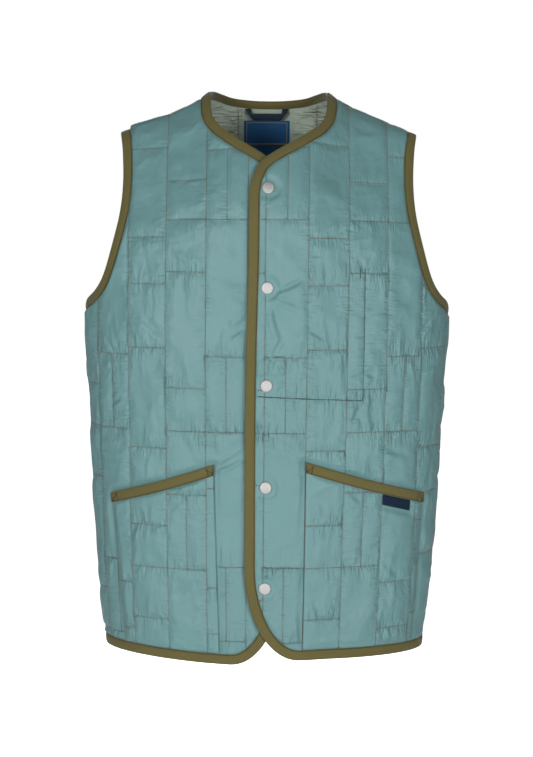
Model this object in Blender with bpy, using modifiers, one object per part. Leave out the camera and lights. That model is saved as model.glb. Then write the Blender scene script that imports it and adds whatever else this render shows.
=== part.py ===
"""Quilted gilet in the shape it has when it is worn, with nobody in it.

The cloth is drawn flat first. In a flat point, girth runs round the body from the centre front or the centre
back towards the wearer's left, and down runs along the cloth from the neck points to the hem. bend() carries
flat points onto the worn form and raises them along its normal, so pieces that lie on each other follow one
curve. Fronts are drawn in their own hand, with girth growing towards their side seam.
"""

import math
from collections import namedtuple

import bmesh
import bpy
import numpy as np
from mathutils import Matrix, Vector
from mathutils.geometry import delaunay_2d_cdt

# Worn form
CHEST_HALF_WIDTH = 0.2225
CHEST_DEPTH = 0.117
SIDE_LEAN = 0.5
NECK_HALF = 0.080
SHOULDER_SLOPE = 0.42
SHOULDER_SOFT = 0.030
NECK_RISE = 0.0101
NECK_RISE_FROM = 0.100
NECK_RISE_OVER = 0.045

Profile = namedtuple("Profile", "fall front back")
PROFILE = (
    Profile(0.000, 0.000, 0.000),
    Profile(0.001, 0.010, 0.012),
    Profile(0.007, 0.024, 0.030),
    Profile(0.024, 0.041, 0.052),
    Profile(0.055, 0.061, 0.073),
    Profile(0.090, 0.081, 0.090),
    Profile(0.130, 0.101, 0.104),
    Profile(0.170, 0.112, 0.113),
    Profile(0.230, 0.117, 0.117),
    Profile(0.340, 0.117, 0.114),
    Profile(0.490, 0.114, 0.110),
    Profile(0.740, 0.111, 0.110),
)

Taper = namedtuple("Taper", "down half_width")
TAPER = (
    Taper(0.19, 0.2225),
    Taper(0.29, 0.2225),
    Taper(0.35, 0.2215),
    Taper(0.44, 0.2165),
    Taper(0.54, 0.2115),
    Taper(0.64, 0.2045),
    Taper(0.71, 0.1965),
    Taper(0.75, 0.1935),
)

# Layers
SHELL = 0.0018
PUFF = 0.0042
NARROW_PUFF = 0.0032
LINING = 0.0010
BINDING = 0.0010
BINDING_WIDTH = 0.0115
GAP = 0.0003
FOLD = BINDING + GAP
OVERLAP_LIFT = SHELL + 2 * BINDING + 3 * GAP + 0.0004
OVERLAP_LEVEL = 0.034
OVERLAP_BLEND = 0.055
OVERLAP_TOP = 0.040
OVERLAP_RISE = 0.050

# Flat directions
STRAIGHT_DOWN = (0.0, 1.0)
STRAIGHT_OUT = (1.0, 0.0)
STRAIGHT_IN = (-1.0, 0.0)

# Cut of the finished edges
Edge = namedtuple("Edge", "girth down")
NECK_POINT = 0.0715
FRONT_NECK = (
    Edge(0.0700, 0.0393),
    Edge(0.0610, 0.0592),
    Edge(0.0470, 0.0730),
    Edge(0.0310, 0.0857),
    Edge(0.0148, 0.0970),
    Edge(0.0000, 0.1080),
)
BACK_NECK = (
    Edge(0.0640, 0.0040),
    Edge(0.0480, 0.0200),
    Edge(0.0250, 0.0270),
    Edge(0.0000, 0.0290),
)
FRONT_CORNER = (
    Edge(0.0000, 0.1080),
    Edge(-0.0100, 0.1184),
    Edge(-0.0165, 0.1310),
    Edge(-0.0205, 0.1450),
    Edge(-0.0222, 0.1650),
    Edge(-0.0228, 0.2400),
    Edge(-0.0255, 0.4000),
    Edge(-0.0255, 0.6050),
)
HEM_CORNER_WIDE = 0.0695
HEM_CORNER_TALL = 0.1145
HEM = 0.7195
UNDER_SAG = 0.0075
SHOULDER_TIP = 0.192
UNDERARM = 0.2915
FRONT_ARMHOLE = (
    Edge(0.1870, 0.0910),
    Edge(0.1852, 0.1350),
    Edge(0.1890, 0.1765),
    Edge(0.1995, 0.2166),
    Edge(0.2140, 0.2550),
    Edge(0.2310, 0.2750),
    Edge(0.2530, 0.2855),
)
BACK_ARMHOLE = (
    Edge(0.1890, 0.0850),
    Edge(0.1885, 0.1300),
    Edge(0.1930, 0.1765),
    Edge(0.2040, 0.2166),
    Edge(0.2190, 0.2550),
    Edge(0.2350, 0.2750),
    Edge(0.2550, 0.2855),
)

# Quilting: stitch lines across each kind of column, down from the chart's zero row
COLUMN = 0.0502
REPEAT = 0.255
CHART = {
    "split": (-0.0910, 0.0000),
    "far": (-0.1000, 0.0215, 0.0780),
    "near": (-0.0520, 0.0000, 0.0630),
}
COLUMN_ORDER = ("split", "far", "near")
SPLIT_LIMIT = 0.120
Quilting = namedtuple("Quilting", "first_line first_kind zero")
QUILT_LEFT = Quilting(first_line=-0.0022, first_kind=0, zero=0.4425)
QUILT_RIGHT = Quilting(first_line=-0.0738, first_kind=0, zero=0.4425)
QUILT_BACK = Quilting(first_line=-0.0390, first_kind=0, zero=0.4425)
QUILT_POCKET_LEFT = Quilting(first_line=0.0960, first_kind=0, zero=0.6065)
QUILT_POCKET_RIGHT = Quilting(first_line=-0.1230, first_kind=0, zero=0.6105)

# Patch pockets: the mouth's ends in each front's own hand
Pocket = namedtuple("Pocket", "inner inner_down inner_hem outer outer_down outer_hem quilting")
POCKETS = {
    "left": Pocket(0.0487, 0.4765, 0.0487, 0.2090, 0.5200, 0.2060, QUILT_POCKET_LEFT),
    "right": Pocket(0.0640, 0.4815, 0.0575, 0.2025, 0.5225, 0.1900, QUILT_POCKET_RIGHT),
}
POCKET_BOW = 0.0020
MOUTH_LIFT = FOLD
MOUTH_BLEND = 0.030

# Snaps, all on one line down the centre front
SNAP_DOWN = (0.1500, 0.2680, 0.3850, 0.5080, 0.6310)
SNAP_SEAT = 0.0105
SNAP_CLEAR = 0.0180
SnapRow = namedtuple("SnapRow", "radius height")
SNAP_CAP = (
    SnapRow(0.0000, 0.0027),
    SnapRow(0.0040, 0.0025),
    SnapRow(0.0064, 0.0017),
    SnapRow(0.0075, 0.0006),
    SnapRow(0.0075, 0.0000),
    SnapRow(0.0000, 0.0000),
)
SNAP_STUD = (
    SnapRow(0.0000, 0.0011),
    SnapRow(0.0050, 0.0011),
    SnapRow(0.0050, 0.0000),
    SnapRow(0.0000, 0.0000),
)
SNAP_SIDES = 20

# Pieces at the back neck and under the pocket's binding
LABEL_CENTRE = -0.0025
LABEL_HALF_WIDTH = 0.0280
LABEL_TOP = 0.0570
LABEL_BOTTOM = 0.0880
LABEL_TAB_HALF_WIDTH = 0.0255
LABEL_TAB_BOTTOM = 0.1180
LABEL_THICK = 0.0008
LOOP_TOP_HALF = 0.0280
LOOP_BOTTOM_HALF = 0.0185
LOOP_BOTTOM = 0.0540
LOOP_TAPE = 0.0085
LOOP_LEG = 0.0080
LOOP_THICK = 0.0012
LOOP_BULGE = 0.0078
TAB_INNER = 0.1470
TAB_OUTER = 0.1870
TAB_LENGTH = 0.0125
TAB_THICK = 0.0008

# Spacing of the mesh
EDGE_STEP = 0.0200
CURVE_STEP = 0.0135
FRONT_CORNER_END = 0.170
STITCH_STEP = 0.0200
PUFF_INSET = 0.0095
PUFF_STEP = 0.0310
INSIDE_STEP = 0.0320
PLATE_STEP = 0.0150
STITCH_MARGIN = 0.0055
PUFF_MARGIN = 0.0085
ROW_MARGIN = 0.0045
COVER_MARGIN = 0.0035
ROW_REACH = BINDING_WIDTH + 2 * GAP
ROW_CLEAR = 0.6 * BINDING_WIDTH
SeamRow = namedtuple("SeamRow", "reach lift")
SHOULDER_ROWS = (SeamRow(0.0110, SHELL), SeamRow(0.0250, SHELL + 0.5 * PUFF))
SLOPE_STEP = 0.0005

# Colours as seen, 0 to 255
COLOURS = {
    "shell": (124, 158, 159),
    "binding": (105, 97, 61),
    "lining": (140, 152, 138),
    "label": (33, 55, 78),
    "snap": (195, 195, 191),
}


def ease(value):
    """Smooth step from 0 to 1."""
    value = np.clip(value, 0.0, 1.0)
    return value * value * (3.0 - 2.0 * value)


def monotone(rows, at):
    """Smooth curve through (x, y) rows without overshoot, read at x values and held level past its ends."""
    x, y = np.array(rows, dtype=float).T
    step = np.diff(x)
    slope = np.diff(y) / step
    tangent = np.zeros(len(x))
    tangent[0], tangent[-1] = slope[0], slope[-1]
    for i in range(1, len(x) - 1):
        if slope[i - 1] * slope[i] > 0:
            before = step[i - 1] + 2 * step[i]
            after = 2 * step[i - 1] + step[i]
            tangent[i] = (before + after) / (before / slope[i - 1] + after / slope[i])
    at = np.clip(at, x[0], x[-1])
    i = np.clip(np.searchsorted(x, at) - 1, 0, len(step) - 1)
    s = (at - x[i]) / step[i]
    start = y[i] + (3 * (y[i + 1] - y[i]) - (2 * tangent[i] + tangent[i + 1]) * step[i]) * s ** 2
    cubic = 2 * (y[i] - y[i + 1]) + (tangent[i] + tangent[i + 1]) * step[i]
    return start + tangent[i] * step[i] * s + cubic * s ** 3


def arc_lengths(points):
    """Distance along a chain of points, from its start."""
    return np.concatenate(([0.0], np.cumsum(np.linalg.norm(np.diff(points, axis=0), axis=1))))


def ring_table():
    """Angles round the chest ellipse and the cloth's length to each, a little past the side seam."""
    angle = np.linspace(0.0, math.radians(105), 400)
    ring = np.stack((CHEST_HALF_WIDTH * np.sin(angle), CHEST_DEPTH * np.cos(angle)), axis=1)
    return angle, arc_lengths(ring)


RING_ANGLE, RING_LENGTH = ring_table()
QUARTER = float(np.interp(math.pi / 2, RING_ANGLE, RING_LENGTH))


class Side:
    """The front or the back: its profile from the shoulder line down, looked up by the cloth's length."""

    def __init__(self, column, facing):
        rows = [(row.fall, getattr(row, column)) for row in PROFILE]
        fall = np.linspace(0.0, PROFILE[-1].fall, 3000)
        depth = monotone(rows, fall)
        past_ridge = 0.02
        self.facing = facing
        self.fall = np.concatenate(([0.0], fall))
        self.depth = np.concatenate(([-past_ridge], depth))
        self.length = np.concatenate(([-past_ridge], arc_lengths(np.stack((fall, depth), axis=1))))
        self.extra = 0.0


FRONT = Side("front", -1.0)
BACK = Side("back", 1.0)
BACK.extra = BACK.length[-1] - FRONT.length[-1]


def half_width(down):
    """Half width of the body at a distance down the cloth."""
    return monotone(TAPER, down)


def side_seam(down):
    """Girth of the side seam at a distance down the cloth."""
    return QUARTER * (half_width(down) / CHEST_HALF_WIDTH) ** SIDE_LEAN


def shoulder_drop(across):
    """How far the shoulder line lies below the neck points, at a distance from the centre."""
    reach = np.hypot(across, SHOULDER_SOFT) - math.hypot(NECK_HALF, SHOULDER_SOFT)
    rise = NECK_RISE * ease((NECK_RISE_FROM - np.abs(across)) / NECK_RISE_OVER)
    return SHOULDER_SLOPE * reach - rise


def surface(side, girth, down):
    """Points of the worn form's inner face for flat points."""
    width = half_width(down)
    spread = np.abs(girth) * QUARTER / side_seam(down)
    angle = np.sign(girth) * np.interp(spread, RING_LENGTH, RING_ANGLE)
    across = width * np.sin(angle)
    drop = shoulder_drop(across)
    length = down - drop + side.extra
    fall = np.interp(length, side.length, side.fall)
    depth = np.interp(length, side.length, side.depth)
    return np.stack((across, side.facing * depth * np.cos(angle), -(fall + drop)), axis=-1)


def slopes(side, flat):
    """How the worn form's points move for a unit of girth and for a unit of down."""
    girth, down = np.asarray(flat, dtype=float).T
    across = surface(side, girth + SLOPE_STEP, down) - surface(side, girth - SLOPE_STEP, down)
    along = surface(side, girth, down + SLOPE_STEP) - surface(side, girth, down - SLOPE_STEP)
    return across / (2 * SLOPE_STEP), along / (2 * SLOPE_STEP)


def bend(side, flat, lift):
    """Flat points carried onto the worn form and raised by a lift along its outward normal."""
    flat = np.asarray(flat, dtype=float)
    normal = side.facing * np.cross(*slopes(side, flat))
    normal /= np.linalg.norm(normal, axis=1, keepdims=True)
    return surface(side, *flat.T) + normal * np.broadcast_to(lift, len(flat))[:, None]


def true_length(side, flat, vectors):
    """Flat vectors scaled to length one as they lie on the worn form at flat points."""
    across, along = slopes(side, flat)
    worn = vectors[:, :1] * across + vectors[:, 1:] * along
    return vectors / np.linalg.norm(worn, axis=1, keepdims=True)


def ridge(side, girth):
    """Down value of the shoulder line at a girth."""
    angle = np.interp(girth, RING_LENGTH, RING_ANGLE)
    return shoulder_drop(CHEST_HALF_WIDTH * np.sin(angle)) - side.extra


def resample(points, step):
    """Points evenly spaced along a chain, ends kept."""
    points = np.asarray(points, dtype=float)
    length = arc_lengths(points)
    count = max(2, int(round(length[-1] / step)) + 1)
    at = np.linspace(0.0, length[-1], count)
    return np.stack([np.interp(at, length, points[:, axis]) for axis in (0, 1)], axis=1)


def curve_through(rows, step, leaving=None, arriving=None):
    """Smooth curve through flat points, evenly resampled, that may leave and arrive in given directions."""
    points = np.array([tuple(row) for row in rows], dtype=float)
    first, last = points[1] - points[0], points[-1] - points[-2]
    before = points[0] - first
    after = points[-1] + last
    if leaving is not None:
        before = points[1] - 2 * np.linalg.norm(first) * np.asarray(leaving)
    if arriving is not None:
        after = points[-2] + 2 * np.linalg.norm(last) * np.asarray(arriving)
    full = np.vstack((before, points, after))
    chain = []
    for a, b, c, d in zip(full, full[1:], full[2:], full[3:]):
        for s in np.linspace(0.0, 1.0, 24, endpoint=False):
            bent = (2 * a - 5 * b + 4 * c - d) * s ** 2 + (3 * b - a - 3 * c + d) * s ** 3
            chain.append(0.5 * (2 * b + (c - a) * s + bent))
    chain.append(points[-1])
    return resample(chain, step)


def inward_normals(side, chain, turn):
    """Flat normals of a chain, square to it, of length one on the worn form, to its left where turn is 1."""
    tangent = np.gradient(chain, axis=0)
    across, along = slopes(side, chain)
    worn = tangent[:, :1] * across + tangent[:, 1:] * along
    normal = np.stack((-np.sum(worn * along, axis=1), np.sum(worn * across, axis=1)), axis=1)
    return true_length(side, chain, turn * normal)


def shrink(side, edges, setbacks, bound=()):
    """Cut edges and their inward normals, each finished edge of a closed outline moved in by its setback.

    Where a bound edge meets a seam, its normal there runs along the seam."""
    names = list(edges)
    loop = np.vstack([edges[name][:-1] for name in names])
    x, y = loop.T
    turn = np.sign(np.sum(x * np.roll(y, -1) - np.roll(x, -1) * y))
    normals = {name: inward_normals(side, edges[name], turn) for name in names}
    for name, after in zip(names, names[1:] + names[:1]):
        corner = edges[after][:1]
        if name in bound and after not in bound:
            normals[name][-1] = true_length(side, corner, edges[after][1:2] - corner)[0]
        if name not in bound and after in bound:
            normals[after][0] = true_length(side, corner, edges[name][-2:-1] - corner)[0]
    cut = {name: edges[name] + setbacks[name] * normals[name] for name in names}
    for name, after in zip(names, names[1:] + names[:1]):
        first, second = normals[name][-1], normals[after][0]
        corner = edges[name][-1:]
        if first @ second > 0.7:
            shared = true_length(side, corner, (first + second)[None])[0]
            cut_corner = corner[0] + setbacks[name] * shared
            normals[name][-1] = shared
            normals[after][0] = shared
        else:
            cut_corner = corner[0] + setbacks[name] * first + setbacks[after] * second
        cut[name][-1] = cut_corner
        cut[after][0] = cut_corner
    return cut, normals


def inside(points, loop):
    """Which points lie in a closed loop."""
    x, y = points.T
    result = np.zeros(len(points), dtype=bool)
    for (x0, y0), (x1, y1) in zip(loop, np.roll(loop, -1, axis=0)):
        if y0 != y1:
            crossing = x0 + (y - y0) / (y1 - y0) * (x1 - x0)
            result ^= ((y0 > y) != (y1 > y)) & (x < crossing)
    return result


def distance(points, chain):
    """Distance of each point from a chain of segments."""
    start, run = chain[:-1], np.diff(chain, axis=0)
    to_point = points[:, None, :] - start[None]
    share = np.sum(to_point * run[None], axis=2) / np.maximum(np.sum(run * run, axis=1), 1e-12)
    nearest = to_point - np.clip(share, 0.0, 1.0)[:, :, None] * run[None]
    return np.min(np.linalg.norm(nearest, axis=2), axis=1)


def grid_points(loop, step):
    """Points of an even staggered grid over a loop's box."""
    low, high = loop.min(axis=0), loop.max(axis=0)
    rows = np.arange(math.floor(low[1] / step), math.ceil(high[1] / step) + 1)
    columns = np.arange(math.floor(low[0] / step) - 1, math.ceil(high[0] / step) + 1)
    return np.array([((column + 0.5 * (row % 2)) * step, row * step) for row in rows for column in columns])


Layer = namedtuple("Layer", "flat faces rim lift")


class Sketch:
    """Flat points with lifts inside a closed loop, and the links that their triangulation keeps."""

    def __init__(self, loop):
        self.loop = loop
        self.closed = np.vstack((loop, loop[:1]))
        self.points = list(loop)
        self.lifts = [SHELL] * len(loop)
        self.links = [(i, (i + 1) % len(loop)) for i in range(len(loop))]

    def add(self, points, lift):
        """Add points and return their numbers."""
        first = len(self.points)
        self.points += list(points)
        self.lifts += list(np.broadcast_to(lift, (len(points),)))
        return list(range(first, len(self.points)))

    def add_chain(self, chain, lift):
        """Add points that are linked one to the next."""
        numbers = self.add(chain, lift)
        self.links += list(zip(numbers, numbers[1:]))

    def add_layer(self, layer):
        """Add the points and edges of a layer that will lie on this one."""
        numbers = self.add(layer.flat, SHELL)
        for face in layer.faces:
            for here, there in zip(face, face[1:] + face[:1]):
                self.links.append((numbers[here], numbers[there]))

    def triangulate(self):
        """Delaunay layer inside the loop."""
        result = delaunay_2d_cdt([Vector(point) for point in self.points], self.links, [], 1, 1e-7)
        flat = np.array([tuple(point) for point in result[0]])
        lifts = np.full(len(flat), SHELL)
        place = {}
        for new, olds in enumerate(result[3]):
            for old in olds:
                place[old] = new
                lifts[new] = self.lifts[old]
        rim = [place[i] for i in range(len(self.loop))]
        return Layer(flat, [tuple(face) for face in result[2]], rim, lifts)


def clear_points(points, loop, margin):
    """Points inside a loop and no nearer to it than a margin."""
    points = points[inside(points, loop)]
    return points[distance(points, np.vstack((loop, loop[:1]))) > margin]


def column_rows(kind, zero, top, bottom):
    """Stitch lines across a column of one kind, from above its top to below its bottom."""
    turns = range(math.floor((top - zero) / REPEAT) - 1, math.ceil((bottom - zero) / REPEAT) + 2)
    return sorted(zero + turn * REPEAT + row for turn in turns for row in CHART[kind])


Brick = namedtuple("Brick", "left right top bottom split")


def bricks_of(quilting, loop):
    """Every quilted brick that may reach into a loop."""
    (left, top), (right, bottom) = loop.min(axis=0), loop.max(axis=0)
    first = math.floor((left - quilting.first_line) / COLUMN)
    last = math.ceil((right - quilting.first_line) / COLUMN)
    bricks = []
    for i in range(first, last):
        kind = COLUMN_ORDER[(quilting.first_kind + i) % len(COLUMN_ORDER)]
        start = round(quilting.first_line + i * COLUMN, 6)
        end = round(quilting.first_line + (i + 1) * COLUMN, 6)
        rows = column_rows(kind, quilting.zero, top, bottom)
        for upper, lower in zip(rows, rows[1:]):
            split = kind == "split" and lower - upper < SPLIT_LIMIT
            bricks.append(Brick(start, end, round(upper, 6), round(lower, 6), split))
    return bricks


def filled(stops, step):
    """Values from the first stop to the last, with the stops among them and no gap over a step."""
    pieces = [np.linspace(a, b, math.ceil((b - a) / step) + 1)[:-1] for a, b in zip(stops, stops[1:])]
    return np.concatenate(pieces + [stops[-1:]])


def stitch_chains(bricks):
    """Stitch lines as chains of flat points: down each column's edge and split, across each brick's top."""
    crossings = {}
    chains = []
    for brick in bricks:
        middle = 0.5 * (brick.left + brick.right)
        for girth in (brick.left, brick.right):
            crossings.setdefault(girth, set()).update((brick.top, brick.bottom))
        across = filled((brick.left, middle, brick.right), STITCH_STEP)
        chains.append(np.stack((across, np.full(len(across), brick.top)), axis=1))
        if brick.split:
            down = filled((brick.top, brick.bottom), STITCH_STEP)
            chains.append(np.stack((np.full(len(down), middle), down), axis=1))
    for girth, stops in crossings.items():
        down = filled(sorted(stops), STITCH_STEP)
        chains.append(np.stack((np.full(len(down), girth), down), axis=1))
    return chains


Puff = namedtuple("Puff", "loop lift")


def puffs_of(bricks):
    """The border of the raised part of each brick, or of each half of a split one, as closed chains."""
    puffs = []
    for brick in bricks:
        middle = 0.5 * (brick.left + brick.right)
        halves = ((brick.left, brick.right),)
        if brick.split:
            halves = ((brick.left, middle), (middle, brick.right))
        for left, right in halves:
            across = filled((left + PUFF_INSET, right - PUFF_INSET), PUFF_STEP)
            down = filled((brick.top + PUFF_INSET, brick.bottom - PUFF_INSET), PUFF_STEP)
            sides = (
                np.stack((across, np.full(len(across), down[0])), axis=1)[:-1],
                np.stack((np.full(len(down), across[-1]), down), axis=1)[:-1],
                np.stack((across[::-1], np.full(len(across), down[-1])), axis=1)[:-1],
                np.stack((np.full(len(down), across[0]), down[::-1]), axis=1),
            )
            puffs.append(Puff(np.vstack(sides), SHELL + (NARROW_PUFF if brick.split else PUFF)))
    return puffs


def runs(chain, keep):
    """Stretches of a chain whose points are all kept."""
    found, run = [], []
    for point, kept in zip(chain, keep):
        if kept:
            run.append(point)
        elif run:
            found.append(np.array(run))
            run = []
    return found + [np.array(run)] if run else found


def ranks(count):
    """Place of each station along an edge, counted from the nearer end."""
    order = np.arange(count)
    return np.minimum(order, order[::-1])


def first_holds(here_rank, there_rank, here, there):
    """Which of two stations holds the inner end of the crease between them: the one nearer its edge's end."""
    if here_rank != there_rank:
        return here_rank < there_rank
    if abs(here[2] - there[2]) > 0.0001:
        return here[2] > there[2]
    return here[0] > there[0]


class Panel:
    """A quilted piece: its cut edges in flat points, the form's side that it follows and how high it lies."""

    def __init__(self, name, side, edges, bound, quilting, height=None):
        self.name = name
        self.side = side
        self.bound = bound
        self.quilting = quilting
        self.height = height
        setbacks = {edge: FOLD if edge in bound else GAP / 2 for edge in edges}
        self.edges, self.normals = shrink(side, edges, setbacks, bound)
        self.loop = np.vstack([chain[:-1] for chain in self.edges.values()])
        self.covered = []
        self.borders = []
        self.covers = []
        self.under = []
        self.discs = []

    def place(self, flat, lift):
        """Flat points in the worn place of this panel, held short of the shoulder and side seams."""
        flat = np.array(flat, dtype=float)
        reach = np.minimum(np.abs(flat[:, 0]), side_seam(flat[:, 1]) - GAP / 2)
        flat[:, 0] = np.sign(flat[:, 0]) * reach
        flat[:, 1] = np.maximum(flat[:, 1], ridge(self.side, reach) + GAP / 2)
        if self.height is not None:
            lift = lift + self.height(flat)
        return bend(self.side, flat, lift)

    def cover(self, loop, border, layer=None):
        """Keep the panel flat inside a loop with a border chain, under a layer there if one is given."""
        self.covered.append(loop)
        self.borders.append(border)
        if layer is not None:
            self.covers.append(layer)

    def add_rows(self, sketch):
        """Add a row of points along each bound edge, just past its binding, tied to it; return the rows."""
        rows = []
        start = 0
        for name, chain in self.edges.items():
            if name in self.bound:
                row = chain + self.normals[name] * ROW_REACH
                kept = inside(row, self.loop) & (distance(row, sketch.closed) > ROW_CLEAR)
                rows += [run for run in runs(row, kept) if len(run) > 1]
                spots = self.place(chain, 0.0)
                rank = ranks(len(chain))
                before = None
                for i in range(len(row)):
                    number = sketch.add(row[i:i + 1], SHELL)[0] if kept[i] else self.seam_point(row[i])
                    tie = (start + i) % len(self.loop)
                    if number is not None:
                        sketch.links.append((number, tie))
                    if number is not None and before is not None:
                        sketch.links.append((before, number))
                        before_tie = (start + i - 1) % len(self.loop)
                        first = first_holds(rank[i - 1], rank[i], spots[i - 1], spots[i])
                        sketch.links.append((before, tie) if first else (number, before_tie))
                    before = number
            start += len(chain) - 1
        return rows

    def seam_point(self, spot):
        """Number of the outline's own point at a spot, where a row of points meets a seam."""
        away = np.linalg.norm(self.loop - spot, axis=1)
        nearest = int(np.argmin(away))
        return nearest if away[nearest] < ROW_MARGIN / 2 else None

    def free(self, points, chains, margin):
        """Which points lie clear of the edges, of the given chains and of what is seated on the panel."""
        spots = surface(self.side, *points.T)
        outline = np.vstack((self.loop, self.loop[:1]))
        keep = inside(points, self.loop) & ~self.in_binding(points)
        for chain in [outline] + chains:
            keep &= distance(spots, surface(self.side, *chain.T)) > margin
        for centre in self.discs:
            keep &= np.linalg.norm(points - centre, axis=1) > SNAP_CLEAR
        return keep

    def in_binding(self, points):
        """Which points lie under the binding of a bound edge."""
        result = np.zeros(len(points), dtype=bool)
        spots = surface(self.side, *points.T)
        for name in self.bound:
            result |= distance(spots, surface(self.side, *self.edges[name].T)) < BINDING_WIDTH + GAP
        return result

    def under_cover(self, points):
        """Which points lie under something that keeps the panel flat."""
        result = np.zeros(len(points), dtype=bool)
        for loop in self.covered:
            result |= inside(points, loop)
        return result

    def outer_layer(self):
        """The quilted face: flat along bound edges and under what covers it, puffed elsewhere."""
        sketch = Sketch(self.loop)
        borders = self.add_rows(sketch)
        for chain in self.borders:
            kept = inside(chain, self.loop) & (distance(chain, sketch.closed) > BINDING_WIDTH + ROW_MARGIN)
            for run in runs(chain, kept):
                sketch.add_chain(run, SHELL)
                borders.append(np.vstack((run, run[-1:])))
        for layer in self.covers:
            sketch.add_layer(layer)
        for name in self.edges:
            if name.startswith("shoulder"):
                for reach, lift in SHOULDER_ROWS:
                    row = (self.edges[name] + reach * self.normals[name])[2:-2]
                    for run in runs(row, self.free(row, borders, ROW_MARGIN)):
                        sketch.add_chain(run, lift)
                        borders.append(np.vstack((run, run[-1:])))
        bricks = bricks_of(self.quilting, self.loop)
        for chain in stitch_chains(bricks):
            for run in runs(chain, self.free(chain, borders, STITCH_MARGIN) & ~self.under_cover(chain)):
                sketch.add_chain(run, SHELL)
        for puff in puffs_of(bricks):
            open_to_puff = self.free(puff.loop, borders, PUFF_MARGIN) & ~self.under_cover(puff.loop)
            for run in runs(puff.loop, open_to_puff):
                sketch.add_chain(run, puff.lift)
        hidden = grid_points(self.loop, INSIDE_STEP)
        keep = self.free(hidden, borders, STITCH_MARGIN) & self.under_cover(hidden)
        for layer in self.covers:
            keep &= ~inside(hidden, layer.flat[layer.rim])
        sketch.add(hidden[keep], SHELL)
        for centre in self.discs:
            turn = np.linspace(0.0, 2 * math.pi, 12, endpoint=False)
            sketch.add(centre + SNAP_SEAT * np.stack((np.cos(turn), np.sin(turn)), axis=1), SHELL)
            sketch.add([centre], SHELL)
        return sketch.triangulate()

    def inner_layer(self):
        """The plain face inside, flat along bound edges and under what lies on it."""
        sketch = Sketch(self.loop)
        rows = self.add_rows(sketch)
        points = clear_points(grid_points(self.loop, INSIDE_STEP), self.loop, 0.4 * INSIDE_STEP)
        for row in rows:
            points = points[distance(points, row) > 0.3 * INSIDE_STEP]
        points = points[~self.in_binding(points)]
        for layer in self.under:
            sketch.add_layer(layer)
            rim = layer.flat[layer.rim]
            outside = ~inside(points, rim) & (distance(points, np.vstack((rim, rim[:1]))) > ROW_MARGIN)
            points = points[outside]
        sketch.add(points, SHELL)
        return sketch.triangulate()


def smooth_mesh(mesh):
    """Shade a mesh smooth but for its hard edges."""
    mesh.shade_smooth()
    mesh.set_sharp_from_angle(angle=math.radians(50))


def material(name):
    """Plain Principled material in one of the colours seen."""
    found = bpy.data.materials.get(name)
    if found is None:
        found = bpy.data.materials.new(name)
        found.use_nodes = True
        shader = found.node_tree.nodes["Principled BSDF"]
        linear = [((value / 255 + 0.055) / 1.055) ** 2.4 for value in COLOURS[name]]
        shader.inputs["Base Color"].default_value = (*linear, 1.0)
        shader.inputs["Metallic"].default_value = 1.0 if name == "snap" else 0.0
        shader.inputs["Roughness"].default_value = 0.3 if name == "snap" else 0.8
    return found


def add_solid(collection, name, points, faces, colour):
    """A named object from points and faces, with its faces turned out."""
    mesh = bpy.data.meshes.new(name)
    mesh.from_pydata([tuple(point) for point in points], [], faces)
    work = bmesh.new()
    work.from_mesh(mesh)
    bmesh.ops.recalc_face_normals(work, faces=work.faces)
    if work.calc_volume(signed=True) < 0:
        bmesh.ops.reverse_faces(work, faces=work.faces)
    bmesh.ops.triangulate(work, faces=work.faces)
    work.to_mesh(mesh)
    work.free()
    smooth_mesh(mesh)
    mesh.materials.append(material(colour))
    solid = bpy.data.objects.new(name, mesh)
    collection.objects.link(solid)
    return solid


def add_wall(collection, name, place, outer, inner, outer_lift, inner_lift, colour):
    """A closed wall between two layers that share their rim."""
    points = np.vstack((place(outer.flat, outer_lift), place(inner.flat, inner_lift)))
    shift = len(outer.flat)
    faces = list(outer.faces)
    faces += [tuple(shift + i for i in reversed(face)) for face in inner.faces]
    for i in range(len(outer.rim)):
        after = (i + 1) % len(outer.rim)
        faces.append((outer.rim[after], outer.rim[i], shift + inner.rim[i], shift + inner.rim[after]))
    return add_solid(collection, name, points, faces, colour)


Strip = namedtuple("Strip", "sections ranks")


BACKWARDS = slice(None, None, -1)
BETWEEN_ENDS = slice(1, -1)
BEFORE_END = slice(None, -1)


def cut_strip(strip, cut):
    """A strip's stations in a slice."""
    return Strip(strip.sections[cut], strip.ranks[cut])


def join_strips(*strips):
    """Strips joined end to end."""
    return Strip(*(np.concatenate(parts) for parts in zip(*strips)))


def add_channel(collection, name, strip, colour, closed=False):
    """A folded strip lofted through U sections of eight points, creased as the panel under it is."""
    sections, rank = strip
    count, around = sections.shape[:2]
    edge_point = 6
    faces = []
    for i in range(count if closed else count - 1):
        after = (i + 1) % count
        here, there = i * around, after * around
        first = first_holds(rank[i], rank[after], sections[i, edge_point], sections[after, edge_point])
        for j in range(around):
            k = (j + 1) % around
            outer_end_first = j in (0, 4)
            if first == outer_end_first:
                faces += [(here + j, here + k, there + k), (here + j, there + k, there + j)]
            else:
                faces += [(here + j, here + k, there + j), (here + k, there + k, there + j)]
    if not closed:
        last = (count - 1) * around
        for a, b, c, d in ((0, 1, 6, 7), (1, 2, 5, 6), (2, 3, 4, 5)):
            faces.append((a, b, c, d))
            faces.append((last + d, last + c, last + b, last + a))
    return add_solid(collection, name, sections.reshape(-1, 3), faces, colour)


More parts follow.
